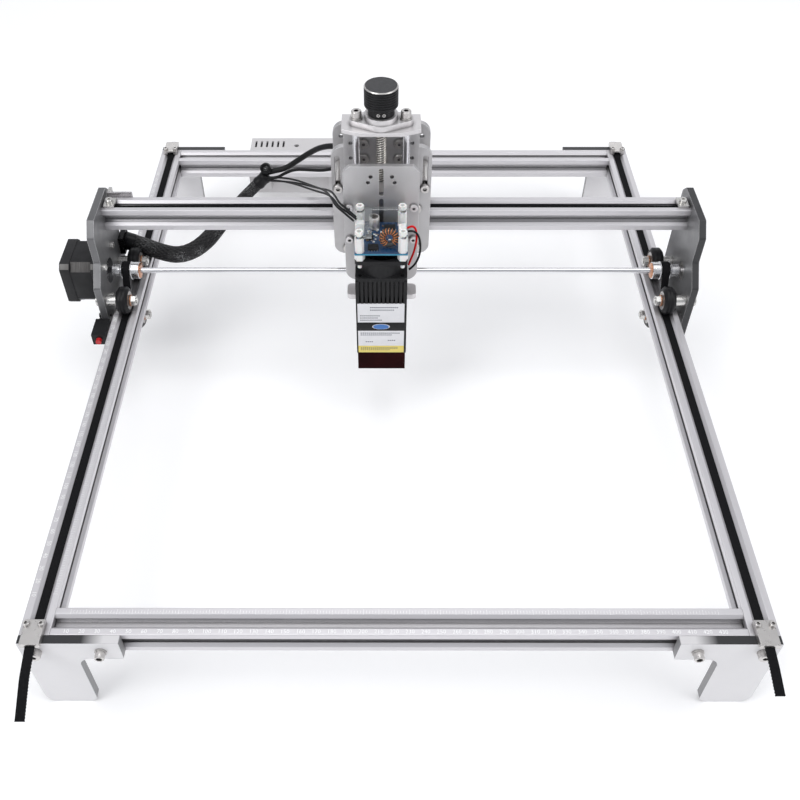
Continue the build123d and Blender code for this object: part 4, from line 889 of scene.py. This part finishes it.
def braided_sleeve():
    """The harness's woven sleeve: two sets of strands that cross over each other."""
    step = 0.0006
    lay = 0.020
    strands = 14
    lift = 0.0004
    wide = SLEEVE_D / 2 + 0.0006
    narrow = SLEEVE_D / 2 - 0.0018
    points = finer(route_line(SLEEVE_ROUTE), step)

    def radius(index, angle):
        turn = index * step / lay * 2 * math.pi
        over = math.cos(strands * angle + turn * 3)
        under = math.cos(strands * angle - turn * 3)
        gathered = min(1, max(0, (index / len(points) - 0.5) / 0.3))
        return wide + (narrow - wide) * gathered + lift * (max(over, under) - 1)

    bm = bmesh.new()
    swept(bm, points, radius, 84)
    cord_piece("harness_sleeve_braid", points, ("gantry",), SLEEVE_D, bm, BRAID, "harness_sleeve", "stiff")


def jacketed_lead(name, route, diameter):
    """A round black lead between the harness and the X carriage."""
    points = route_line(route)
    bm = bmesh.new()
    swept(bm, points, lambda index, angle: diameter / 2, 16)
    cord_piece(name, points, ("gantry", "x_carriage"), diameter, bm, BLACK_WIRE, "carriage_leads")


def laser_lead():
    """Three wires side by side, which part from the carriage to the driver board."""
    line = route_line(LASER_LEAD_ROUTE)
    gantry_share = 0.47
    split = round(len(line) * gantry_share)
    wire = 0.00085
    strands = strand_lines(line, 3, 0.0020, 0.4)
    spans = (
        ("laser_lead_to_carriage", slice(0, split + 1), ("gantry", "x_carriage")),
        ("laser_lead_to_board", slice(split, len(line)), ("x_carriage", "z_slider")),
    )
    for name, span, bodies in spans:
        bm = bmesh.new()
        for strand in strands:
            swept(bm, strand[span], lambda index, angle: wire, 10)
        cord_piece(name, line[span], bodies, LASER_LEAD_D, bm, BLACK_WIRE, "carriage_leads", "limp")


def fan_wire(name, route, material, slot):
    curve = route_curve(name, route, WIRE_D)
    curve.data.materials.append(material)
    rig.ride(curve, "z_slider")
    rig.replaces(curve, "fan_wires")
    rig.slot(curve, slot)
    points = route_line(route)
    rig.cord(curve, exit=points[0], length=line_length(points), diameter=WIRE_D,
            far_end="object", stiffness="limp", lay="loose")


braided_sleeve()
jacketed_lead("motor_lead", MOTOR_LEAD_ROUTE, MOTOR_LEAD_D)
jacketed_lead("switch_lead", SWITCH_LEAD_ROUTE, SWITCH_LEAD_D)
laser_lead()
fan_wire("fan_wire_red", RED_WIRE_ROUTE, RED_WIRE, "wire_red")
fan_wire("fan_wire_black", BLACK_WIRE_ROUTE, BLACK_WIRE, "cable_sleeve")


# ---- belts
WHEEL_WRAP = 0.0130
PULLEY_WRAP = 0.00715
LOOP_TAIL = 0.012
SAMPLE = 0.0005
SAMPLES_PER_TOOTH = round(TOOTH_PITCH / SAMPLE)


def filleted(points, radii):
    """A plane polyline with rounded corners, as evenly spaced points."""
    points = [Vector(point) for point in points]
    trail = [points[0]]
    for before, corner, after, radius in zip(points, points[1:], points[2:], radii):
        into = (corner - before).normalized()
        away = (after - corner).normalized()
        turn = math.atan2(into.cross(away), into.dot(away))
        setback = radius * math.tan(abs(turn) / 2)
        side = math.copysign(radius, turn)
        start = corner - into * setback
        centre = start + Vector((-into.y, into.x)) * side
        steps = max(1, math.ceil(abs(turn) * radius / SAMPLE))
        for step in range(steps + 1):
            arm = (start - centre)
            arm.rotate(Matrix.Rotation(turn * step / steps, 2))
            trail.append(centre + arm)
    trail.append(points[-1])
    return evenly(trail, SAMPLE)


def evenly(points, step):
    """The same line in points a step apart."""
    made = [points[0]]
    wait = step
    for before, after in zip(points, points[1:]):
        span = (after - before).length
        while span >= wait:
            before = before.lerp(after, wait / span)
            made.append(before)
            span -= wait
            wait = step
        wait -= span
    return made


def loop_path(centre, wheel_pitch, wheel_z, pulley_z, tail):
    """The belt's way under one wheel, over the pulley and under the other wheel."""
    half = wheel_pitch / 2
    rise = pulley_z - wheel_z
    slope = math.atan2(rise, half) + math.asin((WHEEL_WRAP + PULLEY_WRAP) / math.hypot(half, rise))
    flat = wheel_z - WHEEL_WRAP
    apex = pulley_z + PULLEY_WRAP / math.cos(slope)
    corner = (apex - flat) / math.tan(slope)
    points = [
        (centre - half - tail, flat),
        (centre - corner, flat),
        (centre, apex),
        (centre + corner, flat),
        (centre + half + tail, flat),
    ]
    return filleted(points, [WHEEL_WRAP, PULLEY_WRAP, WHEEL_WRAP])


def belt_band(bm, path, place):
    """A belt along a path with teeth under it; place makes a point from the path's and an offset."""
    half = BELT_WIDTH / 2
    rings = []
    for index, point in enumerate(path):
        along = path[min(len(path) - 1, index + 1)] - path[max(0, index - 1)]
        up = Vector((-along.y, along.x)).normalized() * BELT_THICK / 2
        tooth = index % SAMPLES_PER_TOOTH < SAMPLES_PER_TOOTH / 2
        top = point + up
        foot = point - up if tooth else point
        section = ((top, -half), (top, half), (foot, half), (foot, -half))
        rings.append([bm.verts.new(place(at_u, at_v, offset)) for (at_u, at_v), offset in section])
    skin(bm, rings)


def belt_piece(name, path, place, node, body=None):
    """A toothed belt along a path, standing for a CAD belt."""
    bm = bmesh.new()
    belt_band(bm, path, place)
    return piece(name, bm, body, [RUBBER], (node,), "belt_rubber", 30)


def y_belt(side_name, side, tail_reach, tail_drop):
    """One side's belt: a front span with its loose tail, the loop at the gantry and a rear span."""
    x = side * SIDE_X
    high = RAIL_TOP + GAP / 3 + BELT_THICK / 2
    flat = RAIL_TOP + WHEEL_AXLE - WHEEL_WRAP
    loop = loop_path(SHAFT_Y, GANTRY_WHEELS, RAIL_TOP + WHEEL_AXLE, SHAFT_Z, LOOP_TAIL)
    front = filleted(
        [
            (-tail_reach, high - tail_drop),
            (-0.55 * tail_reach, high - 0.32 * tail_drop),
            (-0.008, high),
            (0.004, high),
            (0.013, flat),
            loop[0],
        ],
        [0.030, 0.014, 0.006, 0.006],
    )
    rear = filleted(
        [
            loop[-1],
            (FRAME_DEPTH - 0.013, flat),
            (FRAME_DEPTH - 0.004, high),
            (FRAME_DEPTH + 0.008, high),
            (FRAME_DEPTH + 0.018, high - 0.003),
        ],
        [0.006, 0.006, 0.010],
    )

    def place(u, v, offset):
        return bench(x + offset, u, v)

    for name, path, end_y, gantry_y in (
        ("front", front, 0.015, loop[0].x),
        ("rear", rear, FRAME_DEPTH - 0.015, loop[-1].x),
    ):
        span = belt_piece(f"{side_name}_y_belt_{name}", path, place, "y_belts")
        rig.blend(span, "frame", "gantry", start=bench(x, end_y, flat), end=bench(x, gantry_y, flat))
    belt_piece(f"{side_name}_y_belt_loop", loop, place, "y_belt_loops", "gantry")


def x_belt():
    """The beam's belt: a span from each end and the loop at the carriage."""
    low = BEAM_TOP + WHEEL_AXLE - WHEEL_WRAP - 0.0018
    reach = GANTRY_INNER - 0.001
    loop = loop_path(CARRIAGE_X, CARRIAGE_WHEELS, BEAM_TOP + WHEEL_AXLE, X_PULLEY_Z, 0.014)

    def place(u, v, offset):
        return bench(u, BEAM_Y + offset, v)

    left = evenly([Vector((-reach, low)), loop[0]], SAMPLE)
    right = evenly([loop[-1], Vector((reach, low))], SAMPLE)
    for name, path, fixed, moved in (("left", left, 0, -1), ("right", right, -1, 0)):
        span = belt_piece(f"x_belt_{name}", path, place, "x_belt")
        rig.blend(span, "gantry", "x_carriage", start=place(*path[fixed], 0), end=place(*path[moved], 0))
    belt_piece("x_belt_loop_band", loop, place, "x_belt_loop", "x_carriage")


y_belt("left", -1, 0.050, 0.017)
y_belt("right", 1, 0.038, 0.006)
x_belt()


# ---- wheels, pulleys and the lead screw
def wheel(name, place):
    """A V wheel with a lipped tyre and a shielded ball bearing in each face."""
    bm = bmesh.new()
    flank = [
        (0.0080, -0.0049), (0.0083, -0.0051), (0.0094, -0.0051), (0.0099, -0.0048),
        (0.0117, -0.0031), (0.01195, -0.0028), (0.01195, -0.0003),
    ]
    tyre = flank + [(0.0118, 0.0)] + flipped(flank)
    bearing = [
        (0.00795, 0.0003), (0.00795, 0.0047), (0.0078, 0.0049), (0.0067, 0.0049),
        (0.0066, 0.0046), (0.0044, 0.0046), (0.0043, 0.0049), (0.0027, 0.0049),
        (0.0026, 0.0047), (0.0026, 0.0003),
    ]
    closed_ring(bm, tyre, place, 56)
    for facing in (-1, 1):
        closed_ring(bm, [(r, facing * z) for r, z in bearing], place, 40, material=1)
    piece(name + "_tyre_and_bearings", bm, name, [WHEEL_BLACK, STEEL], (name,), "wheel_plastic")


for side_name, side in SIDES.items():
    for wheel_name, y, z in (
        ("front", SHAFT_Y - GANTRY_WHEELS / 2, RAIL_TOP + WHEEL_AXLE),
        ("rear", SHAFT_Y + GANTRY_WHEELS / 2, RAIL_TOP + WHEEL_AXLE),
        ("lower", SHAFT_Y, RAIL_TOP - RAIL - WHEEL_AXLE),
    ):
        wheel(f"{side_name}_{wheel_name}_wheel", at(side * SIDE_X, y, z, "+x"))
    x = CARRIAGE_X + side * CARRIAGE_WHEELS / 2
    for level, z in (("upper", BEAM_TOP + WHEEL_AXLE), ("lower", BEAM_TOP - RAIL - WHEEL_AXLE)):
        wheel(f"carriage_{level}_{side_name}_wheel", at(x, BEAM_Y, z, "+y"))


def tooth_gap(angle, radius, height):
    """How far the toothed part of a pulley dips at an angle."""
    teeth = 20
    depth = 0.0005
    if abs(radius - PULLEY_R) > 1e-6:
        return 0.0
    return -depth * min(1, max(0, 0.5 - math.cos(teeth * angle)))


def pulley(bm, place):
    """A toothed pulley between two bevelled flanges, with its hub towards local Z and a set screw."""
    flange = [
        (0.0076, -0.0045), (0.0080, -0.0042), (0.0080, -0.0039), (0.0072, -0.0035),
        (PULLEY_R, -0.0035),
    ]
    hub = [(0.0074, 0.0046), (0.0074, 0.0106), (0.0070, 0.0110), (0.0030, 0.0110), (0.00252, 0.0106)]
    section = [(0.00252, -0.0045)] + flange + flipped(flange) + hub
    closed_ring(bm, section, place, 160, tooth_gap)
    screw = place @ Matrix.Translation((0, 0, 0.0078)) @ TURN["+x"] @ Matrix.Translation((0, 0, 0.0061))
    head = [(0.0006, 0.0006), (0.0007, 0.0012), (0.00135, 0.0012), (0.0014, 0.0009), (0.0014, 0.0)]
    solid_of_revolution(bm, head, screw, 12, material=1)


def y_pulleys():
    """Both pulleys of the cross shaft, the collars outside them and the copper washers inside."""
    bm = bmesh.new()
    for side in SIDES.values():
        facing = "+x" if side < 0 else "-x"
        place = at(side * SIDE_X, SHAFT_Y, SHAFT_Z, facing)
        pulley(bm, place)
        collar = [(0.0026, -0.0122), (0.0053, -0.0122), (0.0056, -0.0119), (0.0056, -0.0059),
                  (0.0053, -0.0056), (0.0026, -0.0056)]
        closed_ring(bm, collar, place, 48)
        washer = [(0.0026, 0.0107), (0.0063, 0.0107), (0.0066, 0.0109), (0.0066, 0.0114),
                  (0.0063, 0.0116), (0.0026, 0.0116)]
        closed_ring(bm, washer, place, 48, material=2)
    materials = [TURNED, SWITCH_BLACK, COPPER]
    piece("y_pulleys_and_collars", bm, "y_drive", materials, ("y_pulleys",), "pulley_aluminium")


def x_pulley():
    bm = bmesh.new()
    pulley(bm, at(CARRIAGE_X, BEAM_Y, X_PULLEY_Z, "+y"))
    piece("x_pulley_toothed", bm, "x_drive", [TURNED, SWITCH_BLACK], ("x_pulley",), "pulley_aluminium")


def lead_screw():
    """A four-start screw: crests 2 mm apart that climb 8 mm in a turn."""
    depth = 0.0007
    starts = 4
    pitch = 0.002

    def thread(angle, radius, height):
        phase = height / pitch - starts * angle / (2 * math.pi)
        return -depth * min(1, max(0, 0.5 - 0.9 * math.cos(2 * math.pi * phase)))

    low = 0.0862
    high = 0.2815
    rows = 560
    profile = [(0.004, low + (high - low) * row / rows) for row in range(rows + 1)]
    bm = bmesh.new()
    solid_of_revolution(bm, profile, at(CARRIAGE_X, ROD_Y, 0), 28, thread)
    piece("lead_screw_thread", bm, "z_screw", [THREAD], ("lead_screw",), "chrome_rod", 60)


def knob():
    """The hand knob: ridged side, bright chamfer round a flat dark top, and the collar below."""
    top = 0.2836
    outer = 0.0126
    foot = top - 0.0162
    bm = bmesh.new()
    place = at(CARRIAGE_X, ROD_Y, 0)
    cap = [(0.0004, top - 0.0002), (outer - 0.0010, top - 0.0002), (outer - 0.0009, top)]
    rim = [(outer - 0.0009, top), (outer - 0.0006, top), (outer, top - 0.0007)]
    side = [(outer, top - 0.0007), (outer, top - 0.0011)]
    for ridge in range(7):
        z = top - 0.0012 - 0.0019 * ridge
        groove = outer - 0.0006
        side += [(groove, z - 0.0002), (groove, z - 0.0006), (outer, z - 0.0010), (outer, z - 0.0016)]
    side += [
        (outer, foot + 0.0012),
        (outer - 0.0012, foot),
        (0.0101, foot),
        (0.0100, foot - 0.0003),
        (0.0100, 0.2624), (0.0096, 0.2620), (0.0041, 0.2620), (0.0041, 0.2660),
    ]
    turned(bm, cap, place, 72, material=2)
    turned(bm, rim, place, 72, material=1)
    turned(bm, side, place, 72)
    bmesh.ops.remove_doubles(bm, verts=bm.verts, dist=1e-6)
    bmesh.ops.holes_fill(bm, edges=[edge for edge in bm.edges if edge.is_boundary])
    head = [(0.0006, 0.0097), (0.0007, 0.0101), (0.0012, 0.0102), (0.0013, 0.0098), (0.0013, 0.0090)]
    screw_angles = (258, 282)
    for turn in screw_angles:
        facing = place @ Matrix.Rotation(math.radians(turn), 4, "Z")
        screw = facing @ Matrix.Translation((0, 0, 0.2647)) @ TURN["+x"]
        solid_of_revolution(bm, head, screw, 16, material=1)
    piece("z_knob_ridged", bm, "z_screw", [KNOB_BLACK, RIM, KNOB_FACE], ("z_knob",), "knob_black", 35)


y_pulleys()
x_pulley()
lead_screw()
knob()


# ---- motors
def prism(bm, corners, low, high, edge, place, material=0, cut_material=None):
    """An extruded outline about local Z with rounded edges; every other side may differ."""
    made = []
    for height in (low, high):
        made.append([bm.verts.new(place @ Vector((x, y, height))) for x, y in corners])
    count = len(corners)
    sides = []
    for index in range(count):
        after = (index + 1) % count
        face = bm.faces.new((made[0][index], made[0][after], made[1][after], made[1][index]))
        face.material_index = material if cut_material is None or index % 2 else cut_material
        sides.append(face)
    ends = [bm.faces.new(ring) for ring in made]
    for face in ends:
        face.material_index = material
    edges = {edge_of for face in sides + ends for edge_of in face.edges}
    bmesh.ops.bevel(bm, geom=list(edges), offset=edge, segments=2, profile=0.5, affect="EDGES")


def cut_square(half, cut):
    """The corners of a square whose corners are cut off; the cuts come first in each pair."""
    return [
        (half, half - cut), (half - cut, half),
        (-half + cut, half), (-half, half - cut),
        (-half, -half + cut), (-half + cut, -half),
        (half - cut, -half), (half, -half + cut),
    ]


def stepper(name, node, body, place, length, layers, plug_turn):
    """A stepper motor behind local Z = 0: two moulded caps, the layered stack, screws and plug."""
    materials = [MOTOR_BLACK, STACK_BLACK, layers, TURNED, NYLON, BARE]
    moulded, stack, sheets, bright, plastic, corner = range(6)
    half = 0.02115
    cap = 0.009
    flange = 0.0035
    whole = cut_square(half, 0.0042)
    inner = cut_square(half - 0.0003, 0.0064)
    bm = bmesh.new()
    prism(bm, whole, -flange, 0.0, 0.0005, place, moulded, corner)
    prism(bm, inner, -length + cap + 0.0001, -flange - 0.0001, 0.0002, place, stack, sheets)
    prism(bm, whole, -length + 0.0003, -length + cap, 0.0005, place, moulded, corner)
    boss = [(0.0032, 0.0), (0.0032, 0.0017), (0.0036, 0.0019), (0.0106, 0.0019), (0.0110, 0.0016),
            (0.0110, -0.001), (0.0032, -0.001)]
    closed_ring(bm, boss, place, 56, material=bright)
    seat = [(0.0005, 0.0002), (0.0042, 0.0002), (0.0046, 0.0), (0.0058, 0.0), (0.0060, 0.0006)]
    back = place @ Matrix.Translation((0, 0, -length))
    turned(bm, seat, back, 32, material=moulded)
    head = [(0.0010, -0.0006), (0.0013, 0.0), (0.0023, 0.0), (0.0026, -0.0003), (0.0026, -0.0015)]
    bolt = 0.0155
    for u, v in FOUR_CORNERS:
        screw = back @ Matrix.Translation((u * bolt, v * bolt, 0)) @ Matrix.Rotation(math.pi, 4, "X")
        solid_of_revolution(bm, head, screw, 20, material=bright)
    plug = place @ Matrix.Rotation(plug_turn, 4, "Z")
    shell = rectangle(0, 0.008, 0.0209, 0.0270)
    prism(bm, shell, -length + 0.0015, -length + 0.0090, 0.0004, plug, plastic)
    for pin in range(6):
        slot = rectangle((pin - 2.5) * 0.0022, 0.0006, 0.0269, 0.02715)
        prism(bm, slot, -length + 0.0035, -length + 0.0070, 0.0001, plug, moulded)
    piece(name, bm, body, materials, (node,), "motor_black")


QUARTER_TURN = math.pi / 2
Y_MOTOR_PLACE = at(-GANTRY_OUTER, SHAFT_Y, SHAFT_Z, "+x")
X_MOTOR_PLACE = at(CARRIAGE_X, 0.384, X_PULLEY_Z, "-y")
stepper("y_motor_body", "y_motor", "gantry", Y_MOTOR_PLACE, 0.030, LAYERS["x"], -QUARTER_TURN)
stepper("x_motor_body", "x_motor", "x_carriage", X_MOTOR_PLACE, 0.034, LAYERS["y"], QUARTER_TURN)


# ---- driver board
BOARD_TOP = 0.1838


def board_part(name, bm, materials, slot="driver_board", smooth=40):
    piece(name, bm, "z_slider", materials, ("driver_board",), slot, smooth)


def driver_board():
    """The blue board with its wound choke, capacitor, sockets, chips and small parts."""
    half = 0.020
    low = 0.1822
    bm = bmesh.new()
    middle_block(bm, CARRIAGE_X, LASER_Y, half, half, (low, BOARD_TOP), 0.0004)
    for face in bm.faces:
        if abs(face.normal.z) < 0.5:
            face.material_index = 1
    ring = [(0.0017, BOARD_TOP + 0.00002), (0.0036, BOARD_TOP + 0.00005), (0.0037, BOARD_TOP + 0.00001)]
    hole = 0.0162
    for u, v in FOUR_CORNERS:
        pad = at(CARRIAGE_X + u * hole, LASER_Y + v * hole, 0)
        turned(bm, ring, pad, 28, material=2)
    board_part("board_plate", bm, [BOARD, BOARD_EDGE, TURNED])

    bm = bmesh.new()
    can = [(0.0005, 0.0), (0.0037, 0.0), (0.0040, 0.0003), (0.0040, 0.0012), (0.0037, 0.0016),
           (0.0037, 0.0020), (0.0040, 0.0024), (0.0040, 0.0101), (0.0037, 0.0105), (0.0030, 0.01045)]
    place = at(CARRIAGE_X - 0.0054, LASER_Y + 0.0126, BOARD_TOP)
    turned(bm, can, place, 40)
    turned(bm, [can[-1], (0.0006, 0.01045)], place, 40, material=1)
    board_part("board_capacitor", bm, [CAPACITOR, CAPACITOR_TOP], "pulley_aluminium")

    choke = Matrix.Translation(bench(CARRIAGE_X + 0.006, LASER_Y - 0.0115, BOARD_TOP + 0.0084))
    choke @= Matrix.Rotation(math.radians(75), 4, "X") @ Matrix.Rotation(math.radians(12), 4, "Z")
    bm = bmesh.new()
    ring_radius = 0.0052
    core_radius = 0.0019
    core = [(ring_radius + core_radius * math.cos(angle), core_radius * math.sin(angle))
            for angle in [2 * math.pi * step / 14 for step in range(14)]]
    closed_ring(bm, core, choke, 40, material=1)
    turns = 15
    samples = turns * 16
    spread = math.radians(300)
    coil = 0.00225
    winding = []
    for step in range(samples + 1):
        along = step / samples
        round_ring = along * spread - spread / 2 + math.pi / 2
        round_core = 2 * math.pi * turns * along
        reach = ring_radius + coil * math.cos(round_core)
        x = reach * math.cos(round_ring)
        y = reach * math.sin(round_ring)
        winding.append(choke @ Vector((x, y, coil * math.sin(round_core))))
    swept(bm, winding, lambda index, angle: 0.00033, 8)
    board_part("board_choke", bm, [COPPER_WIRE, FERRITE], "driver_board", 60)

    bm = bmesh.new()
    for x, half_x, low_y, high_y, height in (
        (CARRIAGE_X - 0.0164, 0.0034, 0.0050, 0.0105, 0.008),
        (CARRIAGE_X + 0.0162, 0.0030, 0.0025, 0.0095, 0.006),
    ):
        bench_block(bm, (x - half_x, x + half_x), (LASER_Y + low_y, LASER_Y + high_y),
                    (BOARD_TOP, BOARD_TOP + height), 0.0003)
    board_part("board_sockets", bm, [NYLON], "nylon_white")

    bm = bmesh.new()
    chips = (
        (CARRIAGE_X - 0.0060, LASER_Y - 0.0130, 0.0040, 0.0032, 0.0018),
        (CARRIAGE_X + 0.0065, LASER_Y + 0.0120, 0.0042, 0.0030, 0.0016),
        (CARRIAGE_X - 0.0090, LASER_Y - 0.0010, 0.0030, 0.0024, 0.0016),
    )
    for x, y, half_x, half_y, height in chips:
        middle_block(bm, x, y, half_x, half_y, (BOARD_TOP + 0.0003, BOARD_TOP + height), 0.0002)
        pin_heights = (BOARD_TOP, BOARD_TOP + 0.0005)
        for pin in range(4):
            pin_x = x + (pin - 1.5) * half_x / 2
            for edge_y in (y - half_y, y + half_y):
                middle_block(bm, pin_x, edge_y, 0.00025, 0.0007, pin_heights, 0.0001, 1, 1)
    scatter = random.Random(7)
    for _ in range(34):
        x = CARRIAGE_X + scatter.uniform(-0.012, 0.012)
        y = LASER_Y + scatter.uniform(-0.006, 0.017)
        sizes = (0.0009, 0.0005) if scatter.random() < 0.5 else (0.0005, 0.0009)
        material = 1 + scatter.randrange(3)
        middle_block(bm, x, y, *sizes, (BOARD_TOP, BOARD_TOP + 0.0007), 0.0001, material, 1)
    board_part("board_chips", bm, [SWITCH_BLACK, STEEL, NYLON, RESISTOR], "driver_board")


driver_board()


# ---- labels and scales
def housing_label():
    """A plain four-band label plate on the housing's front, with bars in place of wording."""
    face = LASER_Y - HOUSING_HALF
    left = CARRIAGE_X - 0.0188
    right = CARRIAGE_X + 0.0182
    bands = (
        ("label_upper", 0.1155, 0.1350, LABEL_WHITE),
        ("label_middle", 0.1065, 0.1155, SWITCH_BLACK),
        ("label_lower", 0.0900, 0.1065, LABEL_WHITE),
        ("label_foot", 0.0825, 0.0900, LABEL_YELLOW),
    )
    for name, low, high, material in bands:
        bm = bmesh.new()
        bench_block(bm, (left, right), (face - 0.00025, face + 0.0006), (low, high), 0.00008)
        piece(name, bm, "z_slider", [material], slot="laser_black")
    bars = (
        (0.010, 0.032, 0.1312, 0.0010), (0.010, 0.030, 0.1286, 0.0010),
        (0.002, 0.018, 0.1226, 0.0009), (0.002, 0.016, 0.1203, 0.0009),
        (0.002, 0.019, 0.1180, 0.0009), (0.002, 0.034, 0.1040, 0.0009),
        (0.002, 0.028, 0.1020, 0.0009), (0.006, 0.013, 0.0945, 0.0009),
        (0.024, 0.031, 0.0960, 0.0009), (0.002, 0.033, 0.0882, 0.0006),
        (0.002, 0.033, 0.0868, 0.0006), (0.002, 0.026, 0.0854, 0.0006),
    )
    bm = bmesh.new()
    cell_pitch = 0.0016
    for start, end, z, height in bars:
        for cell in range(max(1, round((end - start) / cell_pitch))):
            x = left + start + cell_pitch * cell
            heights = (z - height / 2, z + height / 2)
            bench_block(bm, (x, x + 0.0011), (face - 0.00032, face), heights, 0.00005, 0, 1)
    piece("label_bars", bm, "z_slider", [LABEL_INK], slot="laser_black")
    bm = bmesh.new()
    oval = at((left + right) / 2, face - 0.0002, 0.1110, "-y") @ Matrix.Diagonal((1, 0.40, 1, 1))
    solid_of_revolution(bm, [(0.0070, -0.0003), (0.0070, 0.0001), (0.0067, 0.0002)], oval, 48, material=1)
    solid_of_revolution(bm, [(0.0064, 0.0), (0.0064, 0.00025), (0.0060, 0.0003)], oval, 48)
    piece("label_badge", bm, "z_slider", [LABEL_BLUE, LABEL_WHITE], slot="laser_black")


def scale(name, count, spot, turn, numeral_offset, tick_offset, body):
    """Rail marks: a numeral every 10 mm and a tick every 2 mm, printed on the lips."""
    bm = bmesh.new()
    for tens in range(1, count + 1):
        text = bpy.data.curves.new("numeral", "FONT")
        text.body = str(10 * tens)
        text.size = 0.0040
        text.align_x = "CENTER"
        text.align_y = "CENTER"
        text.resolution_u = 2
        holder = bpy.data.objects.new("numeral", text)
        mesh = bpy.data.meshes.new_from_object(holder)
        mesh.transform(Matrix.Translation(spot(0.010 * tens, numeral_offset)) @ turn)
        bm.from_mesh(mesh)
        bpy.data.objects.remove(holder)
        bpy.data.curves.remove(text)
        bpy.data.meshes.remove(mesh)
    for twos in range(5, 5 * count + 1):
        long = 0.0018 if twos % 5 == 0 else 0.0010
        corners = rectangle(0, 0.00012, -long, long)
        spots = [spot(0.002 * twos + along, tick_offset + across) for along, across in corners]
        bm.faces.new([bm.verts.new(corner) for corner in spots])
    piece(name, bm, body, [WHITE_INK], slot="rail_aluminium", smooth=10)


housing_label()
RAIL_LEFT = -HALF_WIDTH + RAIL
scale("front_rail_scale", 43, lambda run, off: bench(RAIL_LEFT + run, off, RAIL_TOP + 0.00006),
      Matrix.Identity(4), 0.0026, 0.0168, "frame")
scale("left_rail_scale", 50, lambda run, off: bench(-HALF_WIDTH + off, RAIL + run, RAIL_TOP + 0.00006),
      Matrix.Rotation(-math.pi / 2, 4, "Z"), 0.0026, 0.0168, "frame")


# ---- harness fittings
def end_place(points, end, inner):
    """The placement at a line's end, local Z pointing out along the line."""
    away = (points[end] - points[inner]).normalized()
    return Matrix.Translation(points[end]) @ away.to_track_quat("Z", "Y").to_matrix().to_4x4()


def harness_fittings():
    """The boot where the harness divides and its entry collar, the rolled tie, and the motor lead's plug."""
    points = route_line(SLEEVE_ROUTE)
    bm = bmesh.new()
    boot = [(0.0052, -0.0100), (0.0058, -0.0096), (0.0061, -0.0070), (0.0057, -0.0060), (0.0056, -0.0020),
            (0.0060, -0.0010), (0.0060, 0.0004), (0.0046, 0.0026), (0.0028, 0.0034), (0.0006, 0.0036)]
    turned(bm, boot, end_place(points, -1, -6), 40)
    entry = [(0.0072, -0.0042), (0.0080, -0.0036), (0.0080, 0.0046), (0.0072, 0.0056), (0.0006, 0.0058)]
    turned(bm, entry, end_place(points, 0, 5), 40)
    piece("harness_boot", bm, "gantry", [WHEEL_BLACK], slot="cable_sleeve")
    bm = bmesh.new()
    roll = Matrix.Translation(bench(-0.1165, 0.4290, 0.1462)) @ Matrix.Rotation(math.radians(62), 4, "X")
    band = [(0.0026, -0.0040), (0.0044, -0.0040), (0.0048, -0.0034), (0.0048, 0.0034), (0.0044, 0.0040),
            (0.0032, 0.0040), (0.0026, 0.0034)]
    closed_ring(bm, band, roll, 40)
    core = [(0.0004, 0.0022), (0.0018, 0.0024), (0.0026, 0.0020), (0.0026, -0.0020)]
    turned(bm, core, roll, 32, material=1)
    piece("harness_tie", bm, "gantry", [WHEEL_BLACK, BRAID], slot="cable_sleeve")
    bm = bmesh.new()
    bench_block(bm, (-0.0448, -0.0392), (0.4020, 0.4180), (0.1740, 0.1866), 0.0008)
    for rib in range(3):
        y = 0.4075 + 0.0035 * rib
        bench_block(bm, (-0.0453, -0.0445), (y, y + 0.0016), (0.1765, 0.1841), 0.0002)
    piece("motor_lead_connector", bm, "x_carriage", [SWITCH_BLACK], slot="cable_sleeve")


harness_fittings()


# ---- stage, light and camera
def stage_floor():
    mesh = bpy.data.meshes.new("floor")
    reach = 6.0
    corners = [(-reach, -reach, 0), (reach, -reach, 0), (reach, reach, 0), (-reach, reach, 0)]
    mesh.from_pydata(corners, [], [(0, 1, 2, 3)])
    floor = linked("floor", mesh)
    glow = {"Emission_Color": (1, 1, 1, 1), "Emission_Strength": 0.13}
    mesh.materials.append(Finish("floor_paint", (0.93, 0.93, 0.935), 0.6, **glow).material)
    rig.stage(floor)


def area_light(name, place, target, size, power):
    lamp = bpy.data.lights.new(name, "AREA")
    lamp.shape = "RECTANGLE"
    lamp.size, lamp.size_y = size
    lamp.energy = power
    light = linked(name, lamp)
    light.location = place
    light.rotation_euler = (Vector(target) - Vector(place)).to_track_quat("-Z", "Y").to_euler()


def studio():
    world = bpy.data.worlds.new("studio")
    bpy.context.scene.world = world
    world.use_nodes = True
    background = world.node_tree.nodes["Background"]
    background.inputs["Color"].default_value = (0.93, 0.95, 1.0, 1)
    background.inputs["Strength"].default_value = 0.48
    middle = (0, 0, 0.1)
    area_light("overhead", (0.0, 0.0, 2.3), middle, (1.8, 1.8), 20)
    area_light("key", (-1.2, -0.9, 1.6), middle, (1.0, 1.0), 13)
    area_light("fill", (1.4, -0.6, 1.2), middle, (1.0, 1.4), 8)
    area_light("back", (0.2, 1.9, 1.0), middle, (2.4, 0.5), 4)
    bpy.context.scene.view_settings.view_transform = "Standard"


def camera():
    data = bpy.data.cameras.new("camera")
    data.sensor_width = 36.0
    data.lens = 42.30
    data.shift_x = 0.0219
    data.shift_y = -0.0073
    eye = linked("camera", data)
    eye.location = bench(-0.00925, -0.3002, 0.620)
    eye.rotation_euler = (math.radians(43.47), math.radians(0.08), math.radians(0.12))
    bpy.context.scene.camera = eye


stage_floor()
studio()
camera()

visual_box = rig.bounds()
with open("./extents.json", "w") as out:
    json.dump({
        "cad": [list(corner) for corner in cad_box],
        "visual": [list(corner) for corner in visual_box],
    }, out)
